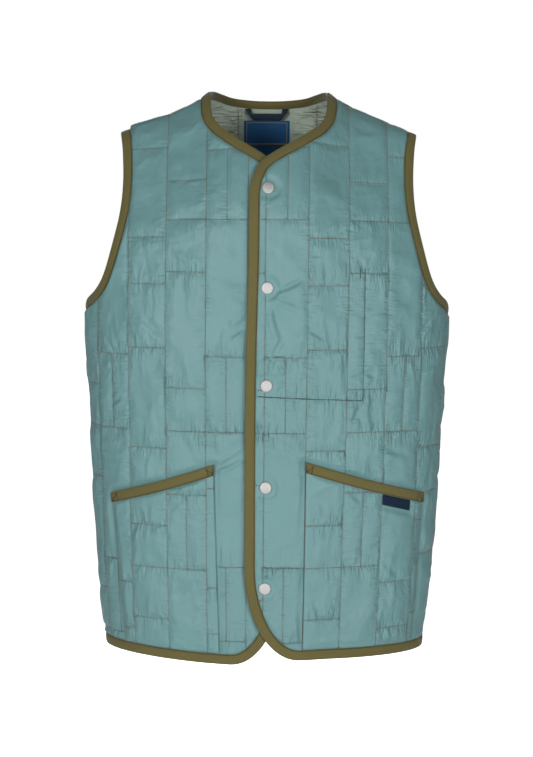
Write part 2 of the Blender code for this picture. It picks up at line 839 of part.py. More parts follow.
def channel_strip(panel, edge, depth, seam_depth=None, trim_start=False, trim_end=False):
    """U sections of a binding round a panel's edge, over a lining of some depth, or another at its seams."""
    chain, normal = panel.edges[edge].copy(), panel.normals[edge]
    if trim_start:
        chain[0] += (chain[1] - chain[0]) / np.linalg.norm(chain[1] - chain[0]) * GAP / 2
    if trim_end:
        chain[-1] += (chain[-2] - chain[-1]) / np.linalg.norm(chain[-2] - chain[-1]) * GAP / 2
    depths = np.full(len(chain), depth)
    if seam_depth is not None and not trim_start:
        depths[0] = seam_depth
    if seam_depth is not None and not trim_end:
        depths[-1] = seam_depth
    low, high = -depths - GAP, SHELL + GAP
    section = (
        (BINDING_WIDTH, high + BINDING),
        (-FOLD, high + BINDING),
        (-FOLD, low - BINDING),
        (BINDING_WIDTH, low - BINDING),
        (BINDING_WIDTH, low),
        (-GAP, low),
        (-GAP, high),
        (BINDING_WIDTH, high),
    )
    columns = [panel.place(chain + normal * reach, lift) for reach, lift in section]
    return Strip(np.stack(columns, axis=1), ranks(len(chain)))


def plate_layer(corners):
    """Layer of a thin plate with straight sides."""
    corners = np.array(corners, dtype=float)
    sides = zip(corners, np.roll(corners, -1, axis=0))
    loop = np.vstack([resample((start, end), PLATE_STEP)[:-1] for start, end in sides])
    sketch = Sketch(loop)
    sketch.add(clear_points(grid_points(loop, PLATE_STEP), loop, 0.4 * PLATE_STEP), SHELL)
    return sketch.triangulate()


def front_edges(hand):
    """Finished edges of a front in its own hand, in order from the neck point."""
    sag = UNDER_SAG if hand < 0 else 0.0
    neck_top = Edge(NECK_POINT, ridge(FRONT, NECK_POINT))
    neck = curve_through((neck_top,) + FRONT_NECK, CURVE_STEP, leaving=STRAIGHT_DOWN)
    top_corner = curve_through(FRONT_CORNER, CURVE_STEP)
    upper = top_corner[top_corner[:, 1] < FRONT_CORNER_END]
    lower = resample(top_corner[top_corner[:, 1] >= FRONT_CORNER_END], EDGE_STEP)
    straight = np.vstack((upper, lower))
    turn = np.linspace(0.0, math.pi / 2, 12)
    corner_girth = FRONT_CORNER[-1].girth + HEM_CORNER_WIDE * (1 - np.cos(turn))
    corner_down = HEM - HEM_CORNER_TALL * (1 - np.sin(turn))
    corner = resample(np.stack((corner_girth, corner_down), axis=1), EDGE_STEP)
    side_girth = side_seam(HEM)
    hem = resample(((corner_girth[-1], HEM), (side_girth, HEM)), EDGE_STEP)
    for chain in (corner, hem):
        near = ease((chain[:, 1] - FRONT_CORNER[-1].down) / HEM_CORNER_TALL)
        chain[:, 1] += sag * near * (1 - ease(chain[:, 0] / side_girth))
    side = side_edge()
    armhole = armhole_edge(FRONT, FRONT_ARMHOLE)[::-1]
    return {
        "neck": neck,
        "front": np.vstack((straight[:-1], corner)),
        "hem": hem,
        "side": side,
        "armhole": armhole,
        "shoulder": shoulder_edge(FRONT)[::-1],
    }


def armhole_edge(side, rows):
    """An armhole from the shoulder tip to the underarm, square to both seams."""
    tip = Edge(SHOULDER_TIP, ridge(side, SHOULDER_TIP))
    underarm = Edge(side_seam(UNDERARM), UNDERARM)
    rows = (tip,) + rows + (underarm,)
    return curve_through(rows, CURVE_STEP, leaving=STRAIGHT_DOWN, arriving=STRAIGHT_OUT)


def seam_stations(length):
    """Distances along a seam between two bound edges, with one just past each binding."""
    reach = FOLD + ROW_REACH
    middle = np.linspace(reach, length - reach, int(round((length - 2 * reach) / EDGE_STEP)) + 1)
    return np.concatenate(([0.0], middle, [length]))


def side_edge():
    """The side seam from the hem up to the underarm."""
    down = HEM - seam_stations(HEM - UNDERARM)
    return np.stack((side_seam(down), down), axis=1)


def shoulder_edge(side):
    """The shoulder seam from the neck point to the tip."""
    girth = np.linspace(NECK_POINT, SHOULDER_TIP, 200)
    length = arc_lengths(surface(side, girth, ridge(side, girth)))
    girth = np.interp(seam_stations(length[-1]), length, girth)
    return np.stack((girth, ridge(side, girth)), axis=1)


def back_edges():
    """Finished edges of the back, in order from the neck point on the wearer's right, alike on both sides."""
    neck_top = Edge(NECK_POINT, ridge(BACK, NECK_POINT))
    rows = (neck_top,) + BACK_NECK
    half_neck = curve_through(rows, CURVE_STEP, leaving=STRAIGHT_DOWN, arriving=STRAIGHT_IN)
    armhole = armhole_edge(BACK, BACK_ARMHOLE)
    hem = resample(((side_seam(HEM), HEM), (-side_seam(HEM), HEM)), EDGE_STEP)
    mirror = np.array((-1.0, 1.0))
    return {
        "neck": np.vstack((half_neck[:-1] * mirror, half_neck[::-1])),
        "shoulder_left": shoulder_edge(BACK),
        "armhole_left": armhole,
        "side_left": side_edge()[::-1],
        "hem": hem,
        "side_right": side_edge() * mirror,
        "armhole_right": armhole[::-1] * mirror,
        "shoulder_right": shoulder_edge(BACK)[::-1] * mirror,
    }


def overlap_height(flat):
    """Extra height of the left front where it laps over the right one."""
    below_shoulder = ease((flat[:, 1] - OVERLAP_TOP) / OVERLAP_RISE)
    return OVERLAP_LIFT * below_shoulder * (1 - ease((flat[:, 0] - OVERLAP_LEVEL) / OVERLAP_BLEND))


def in_hand(edges, hand):
    """Edges drawn in a front's own hand, placed on its side of the body."""
    return {name: chain * np.array((hand, 1.0)) for name, chain in edges.items()}


def mouth_line(pocket, hand):
    """Points along a pocket's mouth, bowed slightly, from its inner end."""
    share = np.linspace(0.0, 1.0, 10)
    girth = pocket.inner + (pocket.outer - pocket.inner) * share
    down = pocket.inner_down + (pocket.outer_down - pocket.inner_down) * share
    down = down + POCKET_BOW * np.sin(math.pi * share)
    return np.stack((hand * girth, down), axis=1)


def hem_limit(panel, girth):
    """Down value just above the hem binding of a front, at a girth."""
    hem = np.vstack((panel.edges["front"], panel.edges["hem"]))
    lower = hem[hem[:, 1] > HEM - HEM_CORNER_TALL]
    order = np.argsort(lower[:, 0])
    return np.interp(girth, lower[order, 0], lower[order, 1]) - BINDING_WIDTH - 3 * GAP


def pocket_edges(pocket, hand, front):
    """Finished edges of a patch pocket, its foot ending on the hem binding."""
    mouth = mouth_line(pocket, hand)
    outer_foot = (hand * pocket.outer_hem, hem_limit(front, hand * pocket.outer_hem))
    inner_foot = (hand * pocket.inner_hem, hem_limit(front, hand * pocket.inner_hem))
    outer = resample((mouth[-1], outer_foot), EDGE_STEP)
    girth = np.linspace(outer_foot[0], inner_foot[0], len(mouth))
    foot = np.stack((girth, hem_limit(front, girth)), axis=1)
    inner = resample((inner_foot, mouth[0]), EDGE_STEP)
    return {"mouth": mouth, "outer": outer, "foot": foot, "inner": inner}


def pocket_height(front, pocket, hand):
    """How high a pocket lies over its front: close along its seams, a binding's fold higher at the mouth."""
    mouth = mouth_line(pocket, hand)

    def height(flat):
        past_binding = distance(flat, mouth) - FOLD - ROW_REACH
        base = SHELL + GAP + MOUTH_LIFT * (1 - ease(past_binding / MOUTH_BLEND))
        return base if front.height is None else base + front.height(flat)

    return height


def seat(panel, centre, lift):
    """Matrix that stands a turned piece on a panel's outer face."""
    spot = np.array([centre, centre + (SLOPE_STEP, 0.0), centre + (0.0, SLOPE_STEP)])
    origin, across, along = panel.place(spot, np.full(3, lift))
    x = Vector(across - origin).normalized()
    z = Vector(np.cross(along - origin, across - origin)).normalized()
    y = z.cross(x)
    turn = Matrix((x, y, z)).transposed().to_4x4()
    return Matrix.Translation(Vector(origin)) @ turn


def add_turned(collection, name, rows, matrix):
    """A turned metal piece: a profile with a Screw modifier, set in place by a matrix."""
    mesh = bpy.data.meshes.new(name)
    points = [(row.radius, 0.0, row.height) for row in rows]
    mesh.from_pydata(points, [(i, i + 1) for i in range(len(rows) - 1)], [])
    mesh.materials.append(material("snap"))
    piece = bpy.data.objects.new(name, mesh)
    collection.objects.link(piece)
    screw = piece.modifiers.new("turn", "SCREW")
    screw.axis = "Z"
    screw.angle = 2 * math.pi
    screw.steps = SNAP_SIDES
    screw.render_steps = SNAP_SIDES
    screw.use_merge_vertices = True
    screw.merge_threshold = 0.00001
    screw.use_smooth_shade = True
    piece.matrix_world = matrix
    return piece


def snap_centres():
    """Flat centres of the snaps."""
    return [np.array((0.0, down)) for down in SNAP_DOWN]


def build_fronts():
    """Both fronts as panels: the left one over the right one, each kept flat under what lies on it."""
    fronts = {}
    for name, hand, quilting in (("left", 1.0, QUILT_LEFT), ("right", -1.0, QUILT_RIGHT)):
        edges = in_hand(front_edges(hand), hand)
        height = overlap_height if name == "left" else None
        bound = ("neck", "front", "hem", "armhole")
        fronts[name] = Panel("front_" + name, FRONT, edges, bound, quilting, height)
    for centre in snap_centres():
        fronts["left"].discs.append(centre)
    reach = FRONT_CORNER[-1].girth - 2 * ROW_MARGIN
    down = np.arange(0.0, HEM + EDGE_STEP, EDGE_STEP)
    line = np.stack((np.full(len(down), reach), down), axis=1)
    away = np.stack((np.full(len(down), NECK_HALF), down[::-1]), axis=1)
    fronts["right"].cover(np.vstack((line, away)), line)
    return fronts


def build_pockets(fronts):
    """Patch pockets as panels, with the fronts kept flat under them."""
    pockets = {}
    for name, hand in (("left", 1.0), ("right", -1.0)):
        front, pocket = fronts[name], POCKETS[name]
        edges = pocket_edges(pocket, hand, front)
        height = pocket_height(front, pocket, hand)
        pockets[name] = Panel("pocket_" + name, FRONT, edges, ("mouth",), pocket.quilting, height)
        around, _ = shrink(FRONT, edges, {edge: -COVER_MARGIN for edge in edges})
        border = np.vstack((around["inner"][:-1], around["mouth"][:-1], around["outer"]))
        loop = np.vstack([chain[:-1] for chain in around.values()])
        front.cover(loop, border, pockets[name].inner_layer())
    return pockets


def tab_outline(pockets):
    """Corners of the pocket tab, hanging from under the pocket's binding."""
    mouth = pockets["left"].edges["mouth"]
    reach = BINDING_WIDTH + GAP
    corners = []
    for girth, drop in ((TAB_INNER, 0.0), (TAB_OUTER, 0.0), (TAB_OUTER, TAB_LENGTH), (TAB_INNER, TAB_LENGTH)):
        slope = np.interp(girth, mouth[:, 0], np.gradient(mouth[:, 1], mouth[:, 0]))
        fall = np.interp(girth, mouth[:, 0], mouth[:, 1]) + (reach + drop) * math.hypot(1.0, slope)
        corners.append((girth, fall))
    return np.array(corners)


def rectangle(half, top, bottom):
    """Corners of a level rectangle about the label's centre line."""
    left, right = LABEL_CENTRE - half, LABEL_CENTRE + half
    return ((left, top), (right, top), (right, bottom), (left, bottom))


def loop_start():
    """Fall at which the hanger loop's tape comes out from under the binding."""
    return BACK_NECK[-1].down + BINDING_WIDTH + 2 * GAP


def loop_outline():
    """Outline of the hanger loop's tape, open at the top where its ends go under the binding."""
    top = loop_start()
    window = LOOP_BOTTOM - LOOP_TAPE
    narrow = LOOP_BOTTOM_HALF - 0.3 * LOOP_LEG
    half = (
        (LOOP_BOTTOM_HALF, LOOP_BOTTOM),
        (LOOP_TOP_HALF, top),
        (LOOP_TOP_HALF - LOOP_LEG, top),
        (narrow, window),
    )
    right = [(LABEL_CENTRE + across, down) for across, down in half]
    left = [(LABEL_CENTRE - across, down) for across, down in reversed(half)]
    return tuple(right + left)


def neck_layers():
    """Layers of the pieces on the back's lining."""
    return {
        "neck_label": plate_layer(rectangle(LABEL_HALF_WIDTH, LABEL_TOP, LABEL_BOTTOM)),
        "neck_label_tab": plate_layer(rectangle(LABEL_TAB_HALF_WIDTH, LABEL_BOTTOM + GAP, LABEL_TAB_BOTTOM)),
        "hanger_loop": plate_layer(loop_outline()),
    }


def add_neck_pieces(collection, back, layers):
    """Hanger loop, neck label and the tab under it, on the lining's inner side."""
    lining_face = -(2 * GAP + LINING)
    loop_top = loop_start()
    loop_run = LOOP_BOTTOM - LOOP_TAPE - loop_top
    for name, layer in layers.items():
        if name == "hanger_loop":
            face = lining_face - LOOP_BULGE * ease((layer.flat[:, 1] - loop_top) / loop_run)
            far_face = face - LOOP_THICK
        else:
            face = lining_face
            far_face = lining_face - LABEL_THICK
        add_wall(collection, name, back.place, layer, layer, face, far_face, "label")


def add_bindings(collection, fronts, back):
    """Neck, front, armhole and hem bindings."""
    lined = GAP + LINING
    right_neck = cut_strip(channel_strip(fronts["right"], "neck", 0.0, lined, trim_end=True), BACKWARDS)
    back_neck = cut_strip(channel_strip(back, "neck", lined), BETWEEN_ENDS)
    left_neck = channel_strip(fronts["left"], "neck", 0.0, lined, trim_end=True)
    add_channel(collection, "neck_binding", join_strips(right_neck, back_neck, left_neck), "binding")
    for name in ("left", "right"):
        front = fronts[name]
        edge = cut_strip(channel_strip(front, "front", 0.0, trim_start=True), BEFORE_END)
        hem = channel_strip(front, "hem", 0.0, trim_end=True)
        add_channel(collection, "front_binding_" + name, join_strips(edge, hem), "binding")
        ahead = channel_strip(front, "armhole", 0.0, lined)
        behind = cut_strip(channel_strip(back, "armhole_" + name, lined), BETWEEN_ENDS)
        if name == "right":
            behind = cut_strip(behind, BACKWARDS)
        add_channel(collection, "armhole_binding_" + name, join_strips(ahead, behind), "binding", closed=True)
    hem = channel_strip(back, "hem", lined, trim_start=True, trim_end=True)
    add_channel(collection, "hem_binding_back", hem, "binding")


def add_panels(collection, fronts, pockets, back):
    """Walls of the fronts, pockets and back, and the back's lining."""
    for panel in (fronts["left"], fronts["right"], pockets["left"], pockets["right"]):
        outer, inner = panel.outer_layer(), panel.inner_layer()
        add_wall(collection, panel.name, panel.place, outer, inner, outer.lift, 0.0, "shell")
    outer, inner = back.outer_layer(), back.inner_layer()
    add_wall(collection, "back", back.place, outer, inner, outer.lift, 0.0, "shell")
    add_wall(collection, "lining_back", back.place, inner, inner, -GAP, -GAP - LINING, "lining")


def add_snaps(collection, fronts):
    """Caps on the left front and studs on the right front under them."""
    for number, centre in enumerate(snap_centres(), 1):
        cap_seat = seat(fronts["left"], centre, SHELL + GAP)
        add_turned(collection, "snap_cap_%d" % number, SNAP_CAP, cap_seat)
        stud_seat = seat(fronts["right"], centre, SHELL + GAP)
        add_turned(collection, "snap_stud_%d" % number, SNAP_STUD, stud_seat)


def main():
    """Build the gilet."""
    for leftover in list(bpy.data.objects):
        bpy.data.objects.remove(leftover)
    collection = bpy.data.collections.new("gilet")
    bpy.context.scene.collection.children.link(collection)
    back_bound = ("neck", "armhole_left", "hem", "armhole_right")
    back = Panel("back", BACK, back_edges(), back_bound, QUILT_BACK)
    fronts = build_fronts()
    pockets = build_pockets(fronts)
    tab = tab_outline(pockets)
    tab_layer = plate_layer(tab)
    around = tab + COVER_MARGIN * np.array(((-1, -1), (1, -1), (1, 1), (-1, 1)))
    pockets["left"].cover(around, resample(np.vstack((around[1:], around[:1])), PLATE_STEP), tab_layer)
    neck_pieces = neck_layers()
    back.under += neck_pieces.values()
    add_panels(collection, fronts, pockets, back)
    add_bindings(collection, fronts, back)
    for name in ("left", "right"):
        strip = channel_strip(pockets[name], "mouth", 0.0)
        add_channel(collection, "pocket_binding_" + name, strip, "binding")
    add_snaps(collection, fronts)
    add_neck_pieces(collection, back, neck_pieces)
    tab_face = SHELL + GAP
    place = pockets["left"].place
    add_wall(collection, "pocket_tab", place, tab_layer, tab_layer, tab_face + TAB_THICK, tab_face, "label")


main()
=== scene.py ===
"""Looks of a quilted gilet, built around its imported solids.

The cloth is drawn flat, as a tailor draws it, and carried onto the worn form. In a flat point, girth
runs round the body from the centre front or the centre back towards the wearer's left, and down runs
along the cloth from the neck points to the hem. Lifts are heights over the form's inner face, along
its outward normal.
"""

import math
from collections import namedtuple

import bmesh
import bpy
import numpy as np
from bpy.props import FloatProperty, FloatVectorProperty, IntProperty, PointerProperty
from mathutils import Matrix, Vector
from mathutils.geometry import delaunay_2d_cdt


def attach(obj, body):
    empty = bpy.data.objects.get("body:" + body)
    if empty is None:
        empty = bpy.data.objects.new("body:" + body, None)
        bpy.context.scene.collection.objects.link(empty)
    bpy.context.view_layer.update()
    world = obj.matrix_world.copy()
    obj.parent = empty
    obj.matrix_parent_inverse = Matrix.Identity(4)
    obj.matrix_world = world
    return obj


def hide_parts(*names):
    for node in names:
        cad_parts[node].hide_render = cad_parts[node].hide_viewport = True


bl_info = {
    "name": "Quilted gilet",
    "version": (1, 0, 0),
    "blender": (4, 5, 0),
    "location": "3D View > Sidebar > Gilet",
    "description": "Builds a quilted gilet's cloth, bindings, stitching and fittings on its packed solids",
    "category": "Object",
}

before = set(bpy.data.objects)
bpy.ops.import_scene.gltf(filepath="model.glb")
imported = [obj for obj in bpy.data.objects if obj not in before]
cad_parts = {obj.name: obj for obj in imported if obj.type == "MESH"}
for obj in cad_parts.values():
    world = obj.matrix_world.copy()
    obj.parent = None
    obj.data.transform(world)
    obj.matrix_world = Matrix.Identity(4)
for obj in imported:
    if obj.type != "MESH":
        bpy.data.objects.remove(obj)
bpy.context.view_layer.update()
BODY = "root"

# Worn form
CHEST_HALF_WIDTH = 0.2225
CHEST_DEPTH = 0.117
SIDE_LEAN = 0.5
NECK_HALF = 0.080
SHOULDER_SLOPE = 0.42
SHOULDER_SOFT = 0.030
NECK_RISE = 0.0101
NECK_RISE_FROM = 0.100
NECK_RISE_OVER = 0.045
Profile = namedtuple("Profile", "fall front back")
PROFILE = (
    Profile(0.000, 0.000, 0.000),
    Profile(0.001, 0.010, 0.012),
    Profile(0.007, 0.024, 0.030),
    Profile(0.024, 0.041, 0.052),
    Profile(0.055, 0.061, 0.073),
    Profile(0.090, 0.081, 0.090),
    Profile(0.130, 0.101, 0.104),
    Profile(0.170, 0.112, 0.113),
    Profile(0.230, 0.117, 0.117),
    Profile(0.340, 0.117, 0.114),
    Profile(0.490, 0.114, 0.110),
    Profile(0.740, 0.111, 0.110),
)
Taper = namedtuple("Taper", "down half_width")
TAPER = (
    Taper(0.19, 0.2225),
    Taper(0.29, 0.2225),
    Taper(0.35, 0.2215),
    Taper(0.44, 0.2165),
    Taper(0.54, 0.2115),
    Taper(0.64, 0.2045),
    Taper(0.71, 0.1965),
    Taper(0.75, 0.1935),
)
SLOPE_STEP = 0.0005
RING_END = math.radians(105)
RING_STEPS = 400
PROFILE_STEPS = 3000
PAST_RIDGE = 0.02

# Layers
SHELL = 0.0018
LINING = 0.0010
BINDING = 0.0010
BINDING_WIDTH = 0.0115
GAP = 0.0003
FOLD = BINDING + GAP
SEAM_LAP = 0.0001
SEAM_BLEND = 0.0090
TAPE_BLEND = 0.0040
UNDER_TAPE = BINDING_WIDTH - 0.001
TAPE_COVER = BINDING_WIDTH - 0.0005
OVERLAP_LIFT = SHELL + 2 * BINDING + 3 * GAP + 0.0004
OVERLAP_LEVEL = 0.034
OVERLAP_BLEND = 0.055
OVERLAP_TOP = 0.040
OVERLAP_RISE = 0.050

# Cut of the finished edges
ROUND_CORNER = 0.7
STRAIGHT_DOWN = (0.0, 1.0)
STRAIGHT_OUT = (1.0, 0.0)
STRAIGHT_IN = (-1.0, 0.0)
Edge = namedtuple("Edge", "girth down")
NECK_POINT = 0.0715
LAP_CLEAR = 4 * NECK_POINT
FRONT_NECK = (
    Edge(0.0700, 0.0393),
    Edge(0.0610, 0.0592),
    Edge(0.0470, 0.0730),
    Edge(0.0310, 0.0857),
    Edge(0.0148, 0.0970),
    Edge(0.0000, 0.1080),
)
BACK_NECK = (
    Edge(0.0640, 0.0040),
    Edge(0.0480, 0.0200),
    Edge(0.0250, 0.0270),
    Edge(0.0000, 0.0290),
)
FRONT_CORNER = (
    Edge(0.0000, 0.1080),
    Edge(-0.0100, 0.1184),
    Edge(-0.0165, 0.1310),
    Edge(-0.0205, 0.1450),
    Edge(-0.0222, 0.1650),
    Edge(-0.0228, 0.2400),
    Edge(-0.0255, 0.4000),
    Edge(-0.0255, 0.6050),
)
HEM_CORNER_WIDE = 0.0695
HEM_CORNER_TALL = 0.1145
HEM = 0.7195
UNDER_SAG = 0.0075
SHOULDER_TIP = 0.192
UNDERARM = 0.2915
FRONT_ARMHOLE = (
    Edge(0.1870, 0.0910),
    Edge(0.1852, 0.1350),
    Edge(0.1890, 0.1765),
    Edge(0.1995, 0.2166),
    Edge(0.2140, 0.2550),
    Edge(0.2310, 0.2750),
    Edge(0.2530, 0.2855),
)
BACK_ARMHOLE = (
    Edge(0.1890, 0.0850),
    Edge(0.1885, 0.1300),
    Edge(0.1930, 0.1765),
    Edge(0.2040, 0.2166),
    Edge(0.2190, 0.2550),
    Edge(0.2350, 0.2750),
    Edge(0.2550, 0.2855),
)
FRONT_BOUND = ("neck", "front", "hem", "armhole")
BACK_BOUND = ("neck", "armhole_left", "hem", "armhole_right")

# Quilting: stitch lines across each kind of column, down from the chart's zero row
COLUMN = 0.0502
REPEAT = 0.255
CHART = {
    "split": (-0.0910, 0.0000),
    "far": (-0.1000, 0.0215, 0.0780),
    "near": (-0.0520, 0.0000, 0.0630),
}
COLUMN_ORDER = ("split", "far", "near")
SPLIT_LIMIT = 0.120
Quilting = namedtuple("Quilting", "first_line first_kind zero")
QUILT_LEFT = Quilting(first_line=-0.0022, first_kind=0, zero=0.4425)
QUILT_RIGHT = Quilting(first_line=-0.0738, first_kind=0, zero=0.4425)
QUILT_BACK = Quilting(first_line=-0.0390, first_kind=0, zero=0.4425)
QUILT_POCKET_LEFT = Quilting(first_line=0.0960, first_kind=0, zero=0.6065)
QUILT_POCKET_RIGHT = Quilting(first_line=-0.1230, first_kind=0, zero=0.6105)

# Patch pockets: the mouth's ends in each front's own hand
Pocket = namedtuple("Pocket", "inner inner_down inner_hem outer outer_down outer_hem quilting")
POCKETS = {
    "left": Pocket(0.0487, 0.4765, 0.0487, 0.2090, 0.5200, 0.2060, QUILT_POCKET_LEFT),
    "right": Pocket(0.0640, 0.4815, 0.0575, 0.2025, 0.5225, 0.1900, QUILT_POCKET_RIGHT),
}
POCKET_BOW = 0.0020
MOUTH_LIFT = FOLD
MOUTH_BLEND = 0.030
POCKET_BOUND = ("mouth",)
HANDS = {"left": 1.0, "right": -1.0}

# Snaps, all on one line down the centre front
SNAP_DOWN = (0.1500, 0.2680, 0.3850, 0.5080, 0.6310)
SNAP_RADIUS = 0.0075
SNAP_SEAT = 0.0095
SNAP_BLEND = 0.0080

# Pieces at the back neck and under the pocket's binding
LABEL_CENTRE = -0.0025
LABEL_HALF_WIDTH = 0.0290
LABEL_TOP = 0.0545
LABEL_BOTTOM = 0.0900
LABEL_TAB_HALF_WIDTH = 0.0255
LABEL_TAB_BOTTOM = 0.1180
LABEL_THICK = 0.0008
BORDER_INSET = 0.0026
BORDER_WIDTH = 0.0008
BORDER_HALF_THICK = 0.0001
FOOT_INSET = 0.0016
LOOP_TOP_HALF = 0.0280
LOOP_BOTTOM_HALF = 0.0185
LOOP_BOTTOM = 0.0500
LOOP_TAPE = 0.0098
LOOP_LEG = 0.0080
LOOP_THICK = 0.0012
LOOP_BULGE = 0.0078
TAB_INNER = 0.1470
TAB_OUTER = 0.1870
TAB_LENGTH = 0.0125
TAB_THICK = 0.0008
TAB_HAND = "left"

# Seam of the pocket inside the left front, as flat points
INSIDE_POCKET = (
    ((0.1185, 0.2440), (0.1185, 0.4040)),
    ((0.1125, 0.2440), (0.1125, 0.2560)),
    ((0.1185, 0.4040), (-0.0100, 0.3980)),
)

# Spacing of the scene's meshes
EDGE_STEP = 0.0040
INNER_STEP = 0.0075
SMOOTH_STEPS = 24
SHARP = math.radians(55)
RIM_CLEAR = 0.7
PLAIN_CLEAR = 0.6
PLACES = 6
ROUNDING = 1e-6
INSIDE_ONLY = 1
WELD = 1e-7
SNAP_WELD = 1e-6
TINY = 1e-12

# Photograph's camera
PHOTO_HIGH = 757
METRES_PER_PIXEL = 0.00125
EYE = Vector((0.0, -2.8, -0.11))
AIM = Vector((0.0, 0.0, -0.343))
ROLL = math.radians(0.5)
SENSOR = 36.0

# Stage
FLOOR_HALF = 14.0
Lamp = namedtuple("Lamp", "place size")
LAMPS = {
    "key": Lamp((-1.3, -2.5, 0.0), 0.8),
    "fill": Lamp((1.3, -2.6, -0.30), 1.0),
    "top": Lamp((0.0, -0.4, 2.4), 2.0),
    "behind": Lamp((0.0, 2.8, 0.1), 1.6),
}


class GiletCloth(bpy.types.PropertyGroup):
    """Sizes of the cloth and its sewing."""

    step: FloatProperty(
        name="Mesh step", description="Spacing of the points of the quilted cloth", default=0.0024, min=0.002,
        max=0.01, subtype="DISTANCE", unit="LENGTH")
    loft: FloatProperty(
        name="Loft", description="Height of a quilted brick over its stitch lines", default=0.0036, min=0.0,
        max=0.008, subtype="DISTANCE", unit="LENGTH")
    rise: FloatProperty(
        name="Rise", description="Distance from a stitch line over which the wadding rises", default=0.0075,
        min=0.002, max=0.02, subtype="DISTANCE", unit="LENGTH")
    pucker: FloatProperty(
        name="Pucker", description="Depth of the puckers that the stitching draws up", default=0.0024,
        min=0.0, max=0.003, subtype="DISTANCE", unit="LENGTH")
    uneven: FloatProperty(
        name="Unevenness", description="Soft rise and fall of the wadding", default=0.0022, min=0.0,
        max=0.003, subtype="DISTANCE", unit="LENGTH")
    stitch: FloatProperty(
        name="Stitch", description="Length of a stitch with its gap", default=0.0030, min=0.002, max=0.008,
        subtype="DISTANCE", unit="LENGTH")
    thread: FloatProperty(
        name="Thread", description="Width of the thread", default=0.0009, min=0.0002, max=0.002,
        subtype="DISTANCE", unit="LENGTH")
    settle: IntProperty(
        name="Settling", description="Frames of simulation that settle the padded cloth", default=12,
        min=0, max=40)


class GiletColours(bpy.types.PropertyGroup):
    """Colours of the cloth and fittings."""

    shell: FloatVectorProperty(
        name="Shell", description="Quilted shell", size=3, subtype="COLOR", default=(0.120, 0.248, 0.254),
        min=0.0, max=1.0)
    lining: FloatVectorProperty(
        name="Lining", description="Lining inside", size=3, subtype="COLOR", default=(0.365, 0.432, 0.355),
        min=0.0, max=1.0)
    binding: FloatVectorProperty(
        name="Binding", description="Tape round the edges", size=3, subtype="COLOR",
        default=(0.115, 0.099, 0.029), min=0.0, max=1.0)
    # brighter than the pocket tab's navy of the same woven cloth: painted light making up for the shade
    # inside the neck
    label: FloatVectorProperty(
        name="Label", description="Woven label at the neck", size=3, subtype="COLOR",
        default=(0.0200, 0.1000, 0.2500), min=0.0, max=1.0)
    pocket_tab: FloatVectorProperty(
        name="Pocket tab", description="Woven tab on the pocket", size=3, subtype="COLOR",
        default=(0.0040, 0.0160, 0.0380), min=0.0, max=1.0)
    loop: FloatVectorProperty(
        name="Loop", description="Tape of the hanger loop", size=3, subtype="COLOR",
        default=(0.0180, 0.0280, 0.0440), min=0.0, max=1.0)
    border: FloatVectorProperty(
        name="Label border", description="Lines woven round the label", size=3, subtype="COLOR",
        default=(0.300, 0.240, 0.150), min=0.0, max=1.0)
    thread: FloatVectorProperty(
        name="Quilting thread", description="Thread of the quilting", size=3, subtype="COLOR",
        default=(0.320, 0.290, 0.240), min=0.0, max=1.0)
    dark_thread: FloatVectorProperty(
        name="Seam thread", description="Thread of the inside pocket's seam", size=3, subtype="COLOR",
        default=(0.012, 0.036, 0.040), min=0.0, max=1.0)
    # painted shade: dark dots laid where the needle holes fall into shade
    hole: FloatVectorProperty(
        name="Needle holes", description="Shade in the needle holes", size=3, subtype="COLOR",
        default=(0.010, 0.012, 0.011), min=0.0, max=1.0)
    tape_thread: FloatVectorProperty(
        name="Binding thread", description="Thread along the bindings", size=3, subtype="COLOR",
        default=(0.022, 0.018, 0.008), min=0.0, max=1.0)
    metal: FloatVectorProperty(
        name="Snaps", description="Metal of the snaps", size=3, subtype="COLOR", default=(0.48, 0.48, 0.47),
        min=0.0, max=1.0)


class GiletStage(bpy.types.PropertyGroup):
    """The floor and the light."""

    floor: FloatProperty(
        name="Floor", description="Height of the floor", default=-1.25, subtype="DISTANCE", unit="LENGTH")
    key: FloatProperty(
        name="Key light", description="Power of the light in front on the left", default=46.0, min=0.0,
        unit="POWER")
    fill: FloatProperty(
        name="Fill light", description="Power of the light in front on the right", default=42.0, min=0.0,
        unit="POWER")
    top: FloatProperty(
        name="Top light", description="Power of the light overhead", default=1.0, min=0.0, unit="POWER")
    behind: FloatProperty(
        name="Light behind", description="Power of the large light behind", default=60.0, min=0.0,
        unit="POWER")
    room: FloatProperty(
        name="Room light", description="Strength of the light from all round", default=0.14, min=0.0)


# Form


def ease(value):
    """Smooth step from 0 to 1."""
    value = np.clip(value, 0.0, 1.0)
    return value * value * (3.0 - 2.0 * value)


def monotone(rows, at):
    """Smooth curve through (x, y) rows without overshoot, read at x values and held level past its ends."""
    x, y = np.array(rows, dtype=float).T
    step = np.diff(x)
    slope = np.diff(y) / step
    tangent = np.zeros(len(x))
    tangent[0], tangent[-1] = slope[0], slope[-1]
    for i in range(1, len(x) - 1):
        if slope[i - 1] * slope[i] > 0:
            before = step[i - 1] + 2 * step[i]
            after = 2 * step[i - 1] + step[i]
            tangent[i] = (before + after) / (before / slope[i - 1] + after / slope[i])
    at = np.clip(at, x[0], x[-1])
    i = np.clip(np.searchsorted(x, at) - 1, 0, len(step) - 1)
    s = (at - x[i]) / step[i]
    start = y[i] + (3 * (y[i + 1] - y[i]) - (2 * tangent[i] + tangent[i + 1]) * step[i]) * s ** 2
    cubic = 2 * (y[i] - y[i + 1]) + (tangent[i] + tangent[i + 1]) * step[i]
    return start + tangent[i] * step[i] * s + cubic * s ** 3


def arc_lengths(points):
    """Distance along a chain of points, from its start."""
    return np.concatenate(([0.0], np.cumsum(np.linalg.norm(np.diff(points, axis=0), axis=1))))


